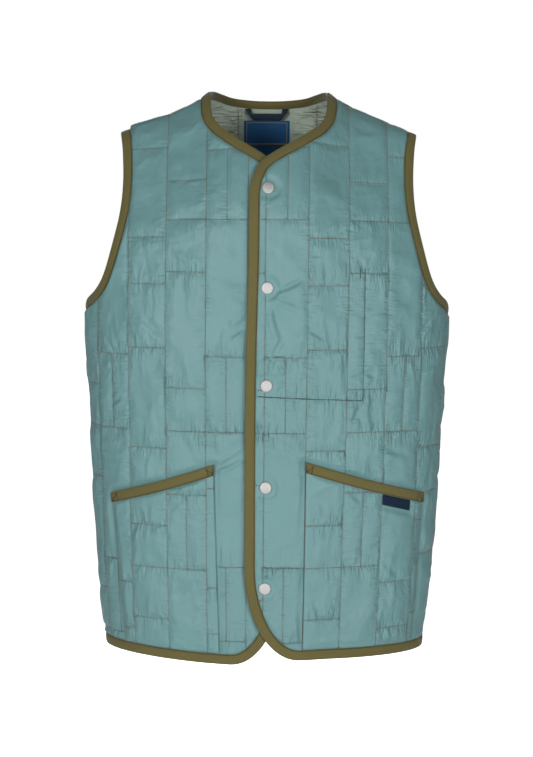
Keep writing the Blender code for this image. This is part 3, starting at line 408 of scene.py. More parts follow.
def ring_table():
    """Angles round the chest ellipse and the cloth's length to each, a little past the side seam."""
    angle = np.linspace(0.0, RING_END, RING_STEPS)
    ring = np.stack((CHEST_HALF_WIDTH * np.sin(angle), CHEST_DEPTH * np.cos(angle)), axis=1)
    return angle, arc_lengths(ring)


RING_ANGLE, RING_LENGTH = ring_table()
QUARTER = float(np.interp(math.pi / 2, RING_ANGLE, RING_LENGTH))


class Side:
    """The front or the back: its profile from the shoulder line down, looked up by the cloth's length."""

    def __init__(self, column, facing):
        rows = [(row.fall, getattr(row, column)) for row in PROFILE]
        fall = np.linspace(0.0, PROFILE[-1].fall, PROFILE_STEPS)
        depth = monotone(rows, fall)
        self.facing = facing
        self.fall = np.concatenate(([0.0], fall))
        self.depth = np.concatenate(([-PAST_RIDGE], depth))
        self.length = np.concatenate(([-PAST_RIDGE], arc_lengths(np.stack((fall, depth), axis=1))))
        self.extra = 0.0


FRONT = Side("front", -1.0)
BACK = Side("back", 1.0)
BACK.extra = BACK.length[-1] - FRONT.length[-1]


def side_seam(down):
    """Girth of the side seam at a distance down the cloth."""
    return QUARTER * (monotone(TAPER, down) / CHEST_HALF_WIDTH) ** SIDE_LEAN


def shoulder_drop(across):
    """How far the shoulder line lies below the neck points, at a distance from the centre."""
    reach = np.hypot(across, SHOULDER_SOFT) - math.hypot(NECK_HALF, SHOULDER_SOFT)
    rise = NECK_RISE * ease((NECK_RISE_FROM - np.abs(across)) / NECK_RISE_OVER)
    return SHOULDER_SLOPE * reach - rise


def surface(side, girth, down):
    """Points of the worn form's inner face for flat points."""
    spread = np.abs(girth) * QUARTER / side_seam(down)
    angle = np.sign(girth) * np.interp(spread, RING_LENGTH, RING_ANGLE)
    across = monotone(TAPER, down) * np.sin(angle)
    drop = shoulder_drop(across)
    length = down - drop + side.extra
    fall = np.interp(length, side.length, side.fall)
    depth = np.interp(length, side.length, side.depth)
    return np.stack((across, side.facing * depth * np.cos(angle), -(fall + drop)), axis=-1)


def slopes(side, flat):
    """How the worn form's points move for a unit of girth and for a unit of down."""
    girth, down = np.asarray(flat, dtype=float).T
    across = surface(side, girth + SLOPE_STEP, down) - surface(side, girth - SLOPE_STEP, down)
    along = surface(side, girth, down + SLOPE_STEP) - surface(side, girth, down - SLOPE_STEP)
    return across / (2 * SLOPE_STEP), along / (2 * SLOPE_STEP)


def form_normals(side, flat):
    """Outward normals of the worn form at flat points."""
    normal = side.facing * np.cross(*slopes(side, flat))
    return normal / np.linalg.norm(normal, axis=1, keepdims=True)


def true_length(side, flat, vectors):
    """Flat vectors scaled to length one as they lie on the worn form at flat points."""
    across, along = slopes(side, flat)
    worn = vectors[:, :1] * across + vectors[:, 1:] * along
    return vectors / np.linalg.norm(worn, axis=1, keepdims=True)


def ridge(side, girth):
    """Down value of the shoulder line at a girth."""
    angle = np.interp(girth, RING_LENGTH, RING_ANGLE)
    return shoulder_drop(CHEST_HALF_WIDTH * np.sin(angle)) - side.extra


def resample(points, step):
    """Points evenly spaced along a chain, ends kept."""
    points = np.asarray(points, dtype=float)
    length = arc_lengths(points)
    count = max(2, int(round(length[-1] / step)) + 1)
    at = np.linspace(0.0, length[-1], count)
    return np.stack([np.interp(at, length, points[:, axis]) for axis in range(points.shape[1])], axis=1)


def curve_through(rows, leaving=None, arriving=None):
    """Smooth curve through flat points, evenly resampled, that may leave and arrive in given directions."""
    points = np.array([tuple(row) for row in rows], dtype=float)
    first, last = points[1] - points[0], points[-1] - points[-2]
    before = points[0] - first
    after = points[-1] + last
    if leaving is not None:
        before = points[1] - 2 * np.linalg.norm(first) * np.asarray(leaving)
    if arriving is not None:
        after = points[-2] + 2 * np.linalg.norm(last) * np.asarray(arriving)
    full = np.vstack((before, points, after))
    chain = []
    for a, b, c, d in zip(full, full[1:], full[2:], full[3:]):
        for s in np.linspace(0.0, 1.0, SMOOTH_STEPS, endpoint=False):
            bent = (2 * a - 5 * b + 4 * c - d) * s ** 2 + (3 * b - a - 3 * c + d) * s ** 3
            chain.append(0.5 * (2 * b + (c - a) * s + bent))
    chain.append(points[-1])
    return resample(chain, EDGE_STEP)


def inward_normals(side, chain, turn):
    """Flat normals of a chain, square to it and of length one as worn, to its left where turn is 1."""
    tangent = np.gradient(chain, axis=0)
    across, along = slopes(side, chain)
    worn = tangent[:, :1] * across + tangent[:, 1:] * along
    normal = np.stack((-np.sum(worn * along, axis=1), np.sum(worn * across, axis=1)), axis=1)
    return true_length(side, chain, turn * normal)


def signed_area(loop):
    """Area of a closed loop, below 0 where it runs the other way round."""
    x, y = loop.T
    return 0.5 * float(np.sum(x * np.roll(y, -1) - np.roll(x, -1) * y))


def shrink(side, edges, setbacks, bound=()):
    """Cut edges and their inward normals, each finished edge of a closed outline moved in by its setback.

    Where a bound edge meets a seam, its normal there runs along the seam."""
    names = list(edges)
    turn = np.sign(signed_area(np.vstack([edges[name][:-1] for name in names])))
    normals = {name: inward_normals(side, edges[name], turn) for name in names}
    for name, after in zip(names, names[1:] + names[:1]):
        corner = edges[after][:1]
        if name in bound and after not in bound:
            normals[name][-1] = true_length(side, corner, edges[after][1:2] - corner)[0]
        if name not in bound and after in bound:
            normals[after][0] = true_length(side, corner, edges[name][-2:-1] - corner)[0]
    cut = {name: edges[name] + setbacks[name] * normals[name] for name in names}
    for name, after in zip(names, names[1:] + names[:1]):
        first, second = normals[name][-1], normals[after][0]
        corner = edges[name][-1:]
        if first @ second > ROUND_CORNER:
            shared = true_length(side, corner, (first + second)[None])[0]
            cut_corner = corner[0] + setbacks[name] * shared
            normals[name][-1] = shared
            normals[after][0] = shared
        else:
            cut_corner = corner[0] + setbacks[name] * first + setbacks[after] * second
        cut[name][-1] = cut_corner
        cut[after][0] = cut_corner
    return cut, normals


def inside(points, loop):
    """Which points lie in a closed loop."""
    x, y = points.T
    result = np.zeros(len(points), dtype=bool)
    for (x0, y0), (x1, y1) in zip(loop, np.roll(loop, -1, axis=0)):
        if y0 != y1:
            crossing = x0 + (y - y0) / (y1 - y0) * (x1 - x0)
            result ^= ((y0 > y) != (y1 > y)) & (x < crossing)
    return result


def closed_chain(loop):
    """A loop with its first point again at its end."""
    return np.vstack((loop, loop[:1]))


def distance(points, chain):
    """Distance of each point from a chain of segments."""
    nearest = np.full(len(points), np.inf)
    for start, end in zip(chain[:-1], chain[1:]):
        run = end - start
        share = np.clip((points - start) @ run / max(run @ run, TINY), 0.0, 1.0)
        nearest = np.minimum(nearest, np.linalg.norm(points - start - share[:, None] * run, axis=1))
    return nearest


# Cut of each piece


def front_edges(hand):
    """Finished edges of a front in its own hand, in order from the neck point."""
    sag = UNDER_SAG if hand < 0 else 0.0
    neck_top = Edge(NECK_POINT, ridge(FRONT, NECK_POINT))
    straight = curve_through(FRONT_CORNER)
    turn = np.linspace(0.0, math.pi / 2, SMOOTH_STEPS)
    corner_girth = FRONT_CORNER[-1].girth + HEM_CORNER_WIDE * (1 - np.cos(turn))
    corner_down = HEM - HEM_CORNER_TALL * (1 - np.sin(turn))
    corner = resample(np.stack((corner_girth, corner_down), axis=1), EDGE_STEP)
    side_girth = side_seam(HEM)
    hem = resample(((corner_girth[-1], HEM), (side_girth, HEM)), EDGE_STEP)
    for chain in (corner, hem):
        near = ease((chain[:, 1] - FRONT_CORNER[-1].down) / HEM_CORNER_TALL)
        chain[:, 1] += sag * near * (1 - ease(chain[:, 0] / side_girth))
    return {
        "neck": curve_through((neck_top,) + FRONT_NECK, leaving=STRAIGHT_DOWN),
        "front": np.vstack((straight[:-1], corner)),
        "hem": hem,
        "side": side_edge(),
        "armhole": armhole_edge(FRONT, FRONT_ARMHOLE)[::-1],
        "shoulder": shoulder_edge(FRONT)[::-1],
    }


def armhole_edge(side, rows):
    """An armhole from the shoulder tip to the underarm, square to both seams."""
    tip = Edge(SHOULDER_TIP, ridge(side, SHOULDER_TIP))
    underarm = Edge(side_seam(UNDERARM), UNDERARM)
    return curve_through((tip,) + rows + (underarm,), leaving=STRAIGHT_DOWN, arriving=STRAIGHT_OUT)


def side_edge():
    """The side seam from the hem up to the underarm."""
    down = np.linspace(HEM, UNDERARM, int((HEM - UNDERARM) / EDGE_STEP))
    return np.stack((side_seam(down), down), axis=1)


def shoulder_edge(side):
    """The shoulder seam from the neck point to the tip."""
    girth = np.linspace(NECK_POINT, SHOULDER_TIP, int((SHOULDER_TIP - NECK_POINT) / EDGE_STEP))
    return np.stack((girth, ridge(side, girth)), axis=1)


def back_edges():
    """Finished edges of the back, from the neck point on the wearer's right, mirrored about the centre."""
    neck_top = Edge(NECK_POINT, ridge(BACK, NECK_POINT))
    half_neck = curve_through((neck_top,) + BACK_NECK, leaving=STRAIGHT_DOWN, arriving=STRAIGHT_IN)
    armhole = armhole_edge(BACK, BACK_ARMHOLE)
    mirror = np.array((-1.0, 1.0))
    return {
        "neck": np.vstack((half_neck[:-1] * mirror, half_neck[::-1])),
        "shoulder_left": shoulder_edge(BACK),
        "armhole_left": armhole,
        "side_left": side_edge()[::-1],
        "hem": resample(((side_seam(HEM), HEM), (-side_seam(HEM), HEM)), EDGE_STEP),
        "side_right": side_edge() * mirror,
        "armhole_right": armhole[::-1] * mirror,
        "shoulder_right": shoulder_edge(BACK)[::-1] * mirror,
    }


def overlap_height(flat):
    """Extra height of the left front where it laps over the right one."""
    below_shoulder = ease((flat[:, 1] - OVERLAP_TOP) / OVERLAP_RISE)
    return OVERLAP_LIFT * below_shoulder * (1 - ease((flat[:, 0] - OVERLAP_LEVEL) / OVERLAP_BLEND))


def mouth_line(pocket, hand):
    """Points along a pocket's mouth, bowed slightly, from its inner end."""
    share = np.linspace(0.0, 1.0, int((pocket.outer - pocket.inner) / EDGE_STEP))
    girth = pocket.inner + (pocket.outer - pocket.inner) * share
    down = pocket.inner_down + (pocket.outer_down - pocket.inner_down) * share
    return np.stack((hand * girth, down + POCKET_BOW * np.sin(math.pi * share)), axis=1)


def hem_limit(panel, girth):
    """Down value just above the hem binding of a front, at a girth."""
    hem = np.vstack((panel.edges["front"], panel.edges["hem"]))
    lower = hem[hem[:, 1] > HEM - HEM_CORNER_TALL]
    order = np.argsort(lower[:, 0])
    return np.interp(girth, lower[order, 0], lower[order, 1]) - BINDING_WIDTH - 3 * GAP


def pocket_edges(pocket, hand, front):
    """Finished edges of a patch pocket, its foot ending on the hem binding."""
    mouth = mouth_line(pocket, hand)
    outer_foot = (hand * pocket.outer_hem, hem_limit(front, hand * pocket.outer_hem))
    inner_foot = (hand * pocket.inner_hem, hem_limit(front, hand * pocket.inner_hem))
    girth = np.linspace(outer_foot[0], inner_foot[0], len(mouth))
    return {
        "mouth": mouth,
        "outer": resample((mouth[-1], outer_foot), EDGE_STEP),
        "foot": np.stack((girth, hem_limit(front, girth)), axis=1),
        "inner": resample((inner_foot, mouth[0]), EDGE_STEP),
    }


def pocket_height(front, pocket, hand):
    """How high a pocket lies over its front: close along its seams, a binding's fold higher at the mouth."""
    mouth = mouth_line(pocket, hand)

    def height(flat):
        past_binding = distance(flat, mouth) - FOLD - BINDING_WIDTH
        base = SHELL + GAP + MOUTH_LIFT * (1 - ease(past_binding / MOUTH_BLEND))
        return base if front.height is None else base + front.height(flat)

    return height


class Panel:
    """A quilted piece: its cut edges in flat points, the form's side that it follows and how high it lies."""

    def __init__(self, name, side, edges, bound, quilting, height=None):
        self.name = name
        self.side = side
        self.bound = bound
        self.quilting = quilting
        self.height = height
        setbacks = {edge: FOLD if edge in bound else -SEAM_LAP for edge in edges}
        self.edges, self.normals = shrink(side, edges, setbacks, bound)
        self.loop = np.vstack([chain[:-1] for chain in self.edges.values()])
        self.flattened = []
        self.discs = []
        self.seams = ()

    def hold(self, flat):
        """Flat points kept from passing the shoulder and side seams."""
        flat = np.array(flat, dtype=float)
        reach = np.minimum(np.abs(flat[:, 0]), side_seam(flat[:, 1]) + SEAM_LAP)
        flat[:, 0] = np.sign(flat[:, 0]) * reach
        flat[:, 1] = np.maximum(flat[:, 1], ridge(self.side, reach) - SEAM_LAP)
        return flat

    def place(self, flat, lift):
        """Flat points in the worn place of this panel."""
        flat = self.hold(flat)
        lift = np.broadcast_to(lift, len(flat))
        if self.height is not None:
            lift = lift + self.height(flat)
        return surface(self.side, *flat.T) + form_normals(self.side, flat) * lift[:, None]

    def calm(self, flat):
        """How free the cloth is to puff: 0 under bindings, fittings and pieces, 1 well away from them."""
        free = np.ones(len(flat))
        for name, chain in self.edges.items():
            reach = UNDER_TAPE if name in self.bound else 0.0
            blend = TAPE_BLEND if name in self.bound else SEAM_BLEND
            free = np.minimum(free, ease((distance(flat, chain) - reach) / blend))
        for loop in self.flattened:
            away = distance(flat, closed_chain(loop))
            free = np.minimum(free, np.where(inside(flat, loop), 0.0, ease(away / SEAM_BLEND)))
        for centre in self.discs:
            away = np.linalg.norm(flat - centre, axis=1) - SNAP_SEAT
            free = np.minimum(free, ease(away / SNAP_BLEND))
        return free


BUILT = {}


def panels():
    """The gilet's panels by name, worked out once."""
    if BUILT:
        return BUILT
    BUILT["back"] = Panel("back", BACK, back_edges(), BACK_BOUND, QUILT_BACK)
    for name, hand in HANDS.items():
        edges = {edge: chain * np.array((hand, 1.0)) for edge, chain in front_edges(hand).items()}
        quilting = QUILT_LEFT if hand > 0 else QUILT_RIGHT
        height = overlap_height if hand > 0 else None
        front = Panel("front_" + name, FRONT, edges, FRONT_BOUND, quilting, height)
        cut = pocket_edges(POCKETS[name], hand, front)
        height = pocket_height(front, POCKETS[name], hand)
        pocket = Panel("pocket_" + name, FRONT, cut, POCKET_BOUND, POCKETS[name].quilting, height)
        front.flattened.append(pocket.loop)
        if name == TAB_HAND:
            pocket.flattened.append(tab_outline(pocket))
        BUILT["front_" + name] = front
        BUILT["pocket_" + name] = pocket
    BUILT["front_left"].discs = [np.array((0.0, down)) for down in SNAP_DOWN]
    BUILT["front_left"].seams = INSIDE_POCKET
    lap = BUILT["front_left"].edges["front"]
    away = lap[::-1] + (LAP_CLEAR, 0.0)
    BUILT["front_right"].flattened.append(np.vstack((lap, away)))
    return BUILT


# Quilting


Brick = namedtuple("Brick", "left right top bottom")


def bricks_of(quilting, loop):
    """Every quilted brick, or half of a split one, that may reach into a loop."""
    (left, top), (right, bottom) = loop.min(axis=0), loop.max(axis=0)
    first = math.floor((left - quilting.first_line) / COLUMN)
    last = math.ceil((right - quilting.first_line) / COLUMN)
    first_turn = math.floor((top - quilting.zero) / REPEAT) - 1
    last_turn = math.ceil((bottom - quilting.zero) / REPEAT) + 1
    zeros = [quilting.zero + turn * REPEAT for turn in range(first_turn, last_turn + 1)]
    bricks = []
    for i in range(first, last):
        kind = COLUMN_ORDER[(quilting.first_kind + i) % len(COLUMN_ORDER)]
        start = round(quilting.first_line + i * COLUMN, PLACES)
        end = round(quilting.first_line + (i + 1) * COLUMN, PLACES)
        middle = round(0.5 * (start + end), PLACES)
        rows = sorted(round(zero + row, PLACES) for zero in zeros for row in CHART[kind])
        for upper, lower in zip(rows, rows[1:]):
            if kind == "split" and lower - upper < SPLIT_LIMIT:
                bricks.append(Brick(start, middle, upper, lower))
                bricks.append(Brick(middle, end, upper, lower))
            else:
                bricks.append(Brick(start, end, upper, lower))
    return bricks


def stitch_lines(bricks):
    """Straight stitch lines as pairs of flat points: whole verticals, and the top of each brick."""
    verticals = {}
    lines = []
    for brick in bricks:
        lines.append(((brick.left, brick.top), (brick.right, brick.top)))
        for girth in (brick.left, brick.right):
            verticals.setdefault(girth, set()).add((brick.top, brick.bottom))
    for girth, spans in verticals.items():
        top, bottom = None, None
        for upper, lower in sorted(spans):
            if bottom is not None and upper > bottom + GAP:
                lines.append(((girth, top), (girth, bottom)))
                top = None
            top = upper if top is None else top
            bottom = lower if bottom is None else max(bottom, lower)
        lines.append(((girth, top), (girth, bottom)))
    return lines


def filled(stops, step):
    """Values from the first stop to the last, with the stops among them and no gap over a step."""
    pieces = []
    for a, b in zip(stops, stops[1:]):
        pieces.append(np.linspace(a, b, math.ceil((b - a) / step - ROUNDING) + 1)[:-1])
    return np.concatenate(pieces + [stops[-1:]])


def runs(chain, keep):
    """Stretches of a chain whose points are all kept."""
    found, run = [], []
    for point, kept in zip(chain, keep):
        if kept:
            run.append(point)
        elif run:
            found.append(np.array(run))
            run = []
    return found + [np.array(run)] if run else found


def split_like(values, chains):
    """Values of all the chains' points together, cut apart again by chain."""
    return np.split(values, np.cumsum([len(chain) for chain in chains])[:-1])


Layer = namedtuple("Layer", "flat faces rim sewn")


def quilted_layer(panel, step):
    """Triangles over a panel, with their edges along its stitch lines."""
    loop = panel.loop
    closed = closed_chain(loop)
    points = list(loop)
    links = [(i, (i + 1) % len(loop)) for i in range(len(loop))]
    sewn = [True] * len(loop)
    bricks = bricks_of(panel.quilting, loop)
    crossings = {}
    for brick in bricks:
        for girth in (brick.left, brick.right):
            crossings.setdefault(girth, set()).update((brick.top, brick.bottom))
    chains = []
    for start, end in stitch_lines(bricks):
        if start[0] == end[0]:
            stops = sorted(stop for stop in crossings[start[0]] if start[1] <= stop <= end[1])
            down = filled(stops, step)
            chains.append(np.stack((np.full(len(down), start[0]), down), axis=1))
        else:
            across = filled((start[0], end[0]), step)
            chains.append(np.stack((across, np.full(len(across), start[1])), axis=1))
    chains += [resample(seam, step) for seam in panel.seams]
    every = np.vstack(chains)
    kept = inside(every, loop) & (distance(every, closed) > RIM_CLEAR * step)
    for chain, keep in zip(chains, split_like(kept, chains)):
        for run in runs(chain, keep):
            first = len(points)
            points += list(run)
            sewn += [True] * len(run)
            links += [(i, i + 1) for i in range(first, len(points) - 1)]
    inner = []
    for brick in bricks:
        across = filled((brick.left, brick.right), step)[1:-1]
        down = filled((brick.top, brick.bottom), step)[1:-1]
        inner.append(np.stack(np.meshgrid(across, down), axis=-1).reshape(-1, 2))
    inner = np.vstack(inner)
    inner = inner[inside(inner, loop)]
    inner = inner[distance(inner, closed) > RIM_CLEAR * step]
    points += list(inner)
    sewn += [False] * len(inner)
    return triangulate(points, links, len(loop), sewn)


def plain_layer(loop, step):
    """Even triangles inside a loop."""
    low, high = loop.min(axis=0), loop.max(axis=0)
    rows = np.arange(math.floor(low[1] / step), math.ceil(high[1] / step) + 1)
    columns = np.arange(math.floor(low[0] / step) - 1, math.ceil(high[0] / step) + 1)
    grid = np.array([((column + 0.5 * (row % 2)) * step, row * step) for row in rows for column in columns])
    grid = grid[inside(grid, loop)]
    grid = grid[distance(grid, closed_chain(loop)) > PLAIN_CLEAR * step]
    links = [(i, (i + 1) % len(loop)) for i in range(len(loop))]
    return triangulate(list(loop) + list(grid), links, len(loop), [True] * len(loop) + [False] * len(grid))


def triangulate(points, links, rim_count, sewn):
    """Delaunay layer of points and links inside the rim that the first points make."""
    result = delaunay_2d_cdt([Vector(point) for point in points], links, [], INSIDE_ONLY, WELD)
    flat = np.array([tuple(point) for point in result[0]])
    place = {}
    held = np.ones(len(flat), dtype=bool)
    for new, olds in enumerate(result[3]):
        for old in olds:
            place[old] = new
        if olds:
            held[new] = any(sewn[old] for old in olds)
    return Layer(flat, [tuple(face) for face in result[2]], [place[i] for i in range(rim_count)], held)


NOISE_SEED = 7
NOISE_COUNT = 4096
NOISE = np.random.default_rng(NOISE_SEED).uniform(-1.0, 1.0, NOISE_COUNT)


def noise(at):
    """Smooth noise along a line, from -1 to 1, with one value for each unit."""
    cell = np.floor(at).astype(int)
    share = ease(at - cell)
    return NOISE[cell % len(NOISE)] * (1 - share) + NOISE[(cell + 1) % len(NOISE)] * share


LINE_SEED = 7919.0
SMOOTH_TOP = 0.10
SMOOTH_RUN = 0.22
PUCKER_SHARP = 0.75
PUCKER_START = 0.0020
PUCKER_VARY = 0.6
PUCKER_EVEN = 0.6
PUCKER_FALL = 1.4
CALM_WAVE = 0.034
Draw = namedtuple("Draw", "reach strength slant wave")
Draws = namedtuple("Draws", "upright across least")
SHELL_DRAW = Draws(Draw(0.0080, 0.8, 0.75, 0.0068), Draw(0.0150, 1.3, 0.35, 0.0068), least=0.4)
LINING_DRAW = Draws(Draw(0.0260, 1.9, 0.30, 0.0105), Draw(0.0080, 0.5, 0.35, 0.0068), least=1.0)
LINING_LOFT = 0.0010
LINING_STEP = 1.25
LINING_PUFF = 0.3
LINING_DIP = -0.4
LINING_THICK = 0.7 * LINING
LINING_FACE = 0.8 * LINING
Swell = namedtuple("Swell", "turn wave offset")
SWELLS = (Swell(0.35, 0.030, 11.0), Swell(1.20, 0.024, 307.0), Swell(2.45, 0.027, 911.0))
SWELL_LONG = 1.8


def pucker(along, away, seed, draw):
    """Height of the puckers beside a stitch line, and how strongly it draws the cloth up there.

    Both come from a distance along the line and a distance away from it."""
    lean = draw.slant * noise(along / CALM_WAVE + 3 * seed)
    wave = noise((along + lean * away) / draw.wave + seed)
    wave = np.sign(wave) * np.abs(wave) ** PUCKER_SHARP
    length = draw.reach * (1.0 + PUCKER_VARY * noise(along / draw.wave + 7 * seed))
    steady = PUCKER_EVEN + (1 - PUCKER_EVEN) * noise(along / CALM_WAVE + seed)
    strength = draw.strength * steady
    drawn = strength * np.exp(-(away / length) ** PUCKER_FALL)
    return drawn * wave, drawn


def undulation(flat):
    """Soft unevenness of the padded cloth, about as wide as a brick, from -1 to 1."""
    total = np.zeros(len(flat))
    for turn, wave, offset in SWELLS:
        along = flat @ np.array((math.cos(turn), math.sin(turn))) / wave
        across = flat @ np.array((-math.sin(turn), math.cos(turn))) / (SWELL_LONG * wave)
        total += noise(along + offset) * noise(across + 2 * offset)
    return total


Relief = namedtuple("Relief", "puff pucker seam upright across")
# width of the painted shade beside a stitch line
SEAM_SHADE_WIDE = 0.010


def quilt_relief(panel, flat, rise, draws=SHELL_DRAW):
    """Relief of the quilting at flat points.

    It holds the height of the wadding and of the puckers, from 0 to about 1, the distance to the
    nearest stitch line, and how strongly upright lines and lines across draw the cloth up."""
    puff = np.zeros(len(flat))
    puckers = np.zeros(len(flat))
    seam = np.full(len(flat), 1.0)
    upright = np.zeros(len(flat))
    across = np.zeros(len(flat))
    for brick in bricks_of(panel.quilting, panel.loop):
        girth, down = flat.T
        here = (girth >= brick.left) & (girth <= brick.right) & (down >= brick.top) & (down <= brick.bottom)
        if not here.any():
            continue
        girth, down = girth[here], down[here]
        sides = (
            (girth - brick.left, down, brick.left, draws.upright, upright),
            (brick.right - girth, down, brick.right + 1.0, draws.upright, upright),
            (down - brick.top, girth, brick.top + 2.0, draws.across, across),
            (brick.bottom - down, girth, brick.bottom + 3.0, draws.across, across),
        )
        height = np.ones(len(girth))
        for away, along, key, draw, pull in sides:
            height *= 1 - np.exp(-away / rise)
            waves, drawn = pucker(along, away, round(key * LINE_SEED, 1), draw)
            puckers[here] += waves
            pull[here] = np.maximum(pull[here], drawn)
            seam[here] = np.minimum(seam[here], away)
        puff[here] = height
    for start, end in panel.seams:
        away = distance(flat, np.array((start, end)))
        level_line = abs(end[0] - start[0]) > abs(end[1] - start[1])
        pull, draw = (across, draws.across) if level_line else (upright, draws.upright)
        waves, drawn = pucker(flat[:, 0 if level_line else 1], away, round(start[0] * LINE_SEED, 1), draw)
        puff *= 1 - np.exp(-away / rise)
        puckers += waves
        np.maximum(pull, drawn, out=pull)
        np.minimum(seam, away, out=seam)
    smooth = draws.least + (1 - draws.least) * ease((flat[:, 1] - SMOOTH_TOP) / SMOOTH_RUN)
    near = seam / PUCKER_START
    puckers *= smooth * near / (1 + near)
    return Relief(puff, puckers, seam, smooth * upright, smooth * across)


CREASE_DEEP = 1.6
CREASE_THIN = 0.85
CREASE_LIP = 0.75
CREASE_LIP_AT = 1.7
CREASE_TAPER = 3
CREASE_BLUNT = 0.3
CREASE_BOW = 0.12
CREASE_START = 0.0030
LEAST_RISE = -0.0006
MOST_RISE = 0.0058
HELD_CALM = 0.02
Crease = namedtuple("Crease", "girth down end_girth end_down depth width")
CREASES = {
    "front_left": (
        Crease(0.0080, 0.2900, 0.0190, 0.3290, -0.0016, 0.0038),
        Crease(0.0190, 0.3290, 0.0060, 0.3580, -0.0015, 0.0036),
        Crease(0.0020, 0.2980, 0.0110, 0.3340, 0.0010, 0.0045),
        Crease(0.0490, 0.3150, 0.0680, 0.3290, -0.0012, 0.0030),
        Crease(0.1060, 0.3240, 0.1200, 0.3280, -0.0012, 0.0026),
        Crease(0.0950, 0.3730, 0.1180, 0.3680, 0.0012, 0.0030),
        Crease(0.1180, 0.3690, 0.1330, 0.3740, -0.0012, 0.0028),
        Crease(0.1210, 0.4110, 0.1290, 0.4430, 0.0014, 0.0045),
        Crease(0.1160, 0.4110, 0.1060, 0.4330, -0.0012, 0.0040),
        Crease(0.1170, 0.2320, 0.1240, 0.2580, 0.0010, 0.0030),
        Crease(0.1320, 0.2300, 0.1240, 0.2580, 0.0010, 0.0030),
        Crease(0.0080, 0.2730, 0.0420, 0.2570, -0.0014, 0.0035),
        Crease(0.0080, 0.2760, 0.0390, 0.2890, -0.0012, 0.0035),
        Crease(0.0090, 0.3880, 0.0220, 0.3810, -0.0010, 0.0025),
        Crease(0.1930, 0.3250, 0.2120, 0.3060, -0.0014, 0.0035),
        Crease(0.2010, 0.3700, 0.2230, 0.3620, -0.0012, 0.0030),
        Crease(0.0550, 0.2050, 0.0880, 0.1900, 0.0009, 0.0060),
        Crease(0.0200, 0.4550, 0.0440, 0.4720, -0.0010, 0.0045),
        Crease(0.1450, 0.4600, 0.1800, 0.4700, -0.0010, 0.0050),
    ),
    "front_right": (
        Crease(-0.0600, 0.4860, -0.0240, 0.4660, -0.0018, 0.0036),
        Crease(-0.0580, 0.4780, -0.0270, 0.4600, 0.0010, 0.0045),
        Crease(-0.0740, 0.3530, -0.0500, 0.3460, 0.0011, 0.0034),
        Crease(-0.0500, 0.3460, -0.0270, 0.3530, 0.0011, 0.0034),
        Crease(-0.0440, 0.3270, -0.0240, 0.3120, -0.0012, 0.0034),
        Crease(-0.0470, 0.3150, -0.0280, 0.3010, 0.0008, 0.0040),
        Crease(-0.1150, 0.2260, -0.0860, 0.2380, 0.0009, 0.0055),
        Crease(-0.1500, 0.3060, -0.1280, 0.3270, -0.0010, 0.0045),
        Crease(-0.2080, 0.3350, -0.1850, 0.3560, -0.0012, 0.0035),
        Crease(-0.2050, 0.4150, -0.1850, 0.4050, -0.0010, 0.0035),
        Crease(-0.1150, 0.4300, -0.0880, 0.4150, 0.0009, 0.0055),
    ),
    "pocket_left": (
        Crease(0.0950, 0.5080, 0.1300, 0.5300, -0.0012, 0.0045),
        Crease(0.0600, 0.5300, 0.0880, 0.5650, 0.0009, 0.0060),
        Crease(0.1500, 0.6000, 0.1800, 0.6250, -0.0010, 0.0050),
    ),
    "pocket_right": (
        Crease(-0.0900, 0.5150, -0.1250, 0.5450, -0.0012, 0.0045),
        Crease(-0.1450, 0.5500, -0.1750, 0.5900, 0.0009, 0.0060),
        Crease(-0.0850, 0.6250, -0.1150, 0.6450, -0.0010, 0.0050),
    ),
    "back": (
        Crease(-0.1700, 0.2500, -0.1250, 0.2050, -0.0013, 0.0050),
        Crease(0.1600, 0.2600, 0.1200, 0.2100, -0.0012, 0.0045),
        Crease(-0.0600, 0.3550, -0.0150, 0.3400, 0.0010, 0.0050),
        Crease(0.0700, 0.4700, 0.1200, 0.4500, -0.0012, 0.0048),
        Crease(-0.1500, 0.4900, -0.0950, 0.5150, -0.0011, 0.0050),
        Crease(0.0150, 0.5900, 0.0500, 0.6200, 0.0009, 0.0060),
        Crease(0.1500, 0.3700, 0.1950, 0.3500, -0.0012, 0.0040),
        Crease(-0.2050, 0.3600, -0.1700, 0.3800, -0.0012, 0.0040),
    ),
}


def crease_height(creases, flat):
    """Height of listed creases: ridges where the depth is positive, troughs where it is negative."""
    height = np.zeros(len(flat))
    for crease in creases:
        start = np.array((crease.girth, crease.down))
        run = np.array((crease.end_girth, crease.end_down)) - start
        share = (flat - start) @ run / (run @ run)
        off = (flat - start) @ np.array((-run[1], run[0])) / np.linalg.norm(run)
        taper = ease(np.minimum(share, 1 - share) * CREASE_TAPER + CREASE_BLUNT)
        bow = CREASE_BOW * np.linalg.norm(run) * share * (1 - share)
        beside = (off - bow) / (CREASE_THIN * crease.width)
        fold = np.exp(-beside ** 2) - CREASE_LIP * np.exp(-(beside - CREASE_LIP_AT) ** 2)
        height += CREASE_DEEP * crease.depth * taper * fold
    return height


# Mesh


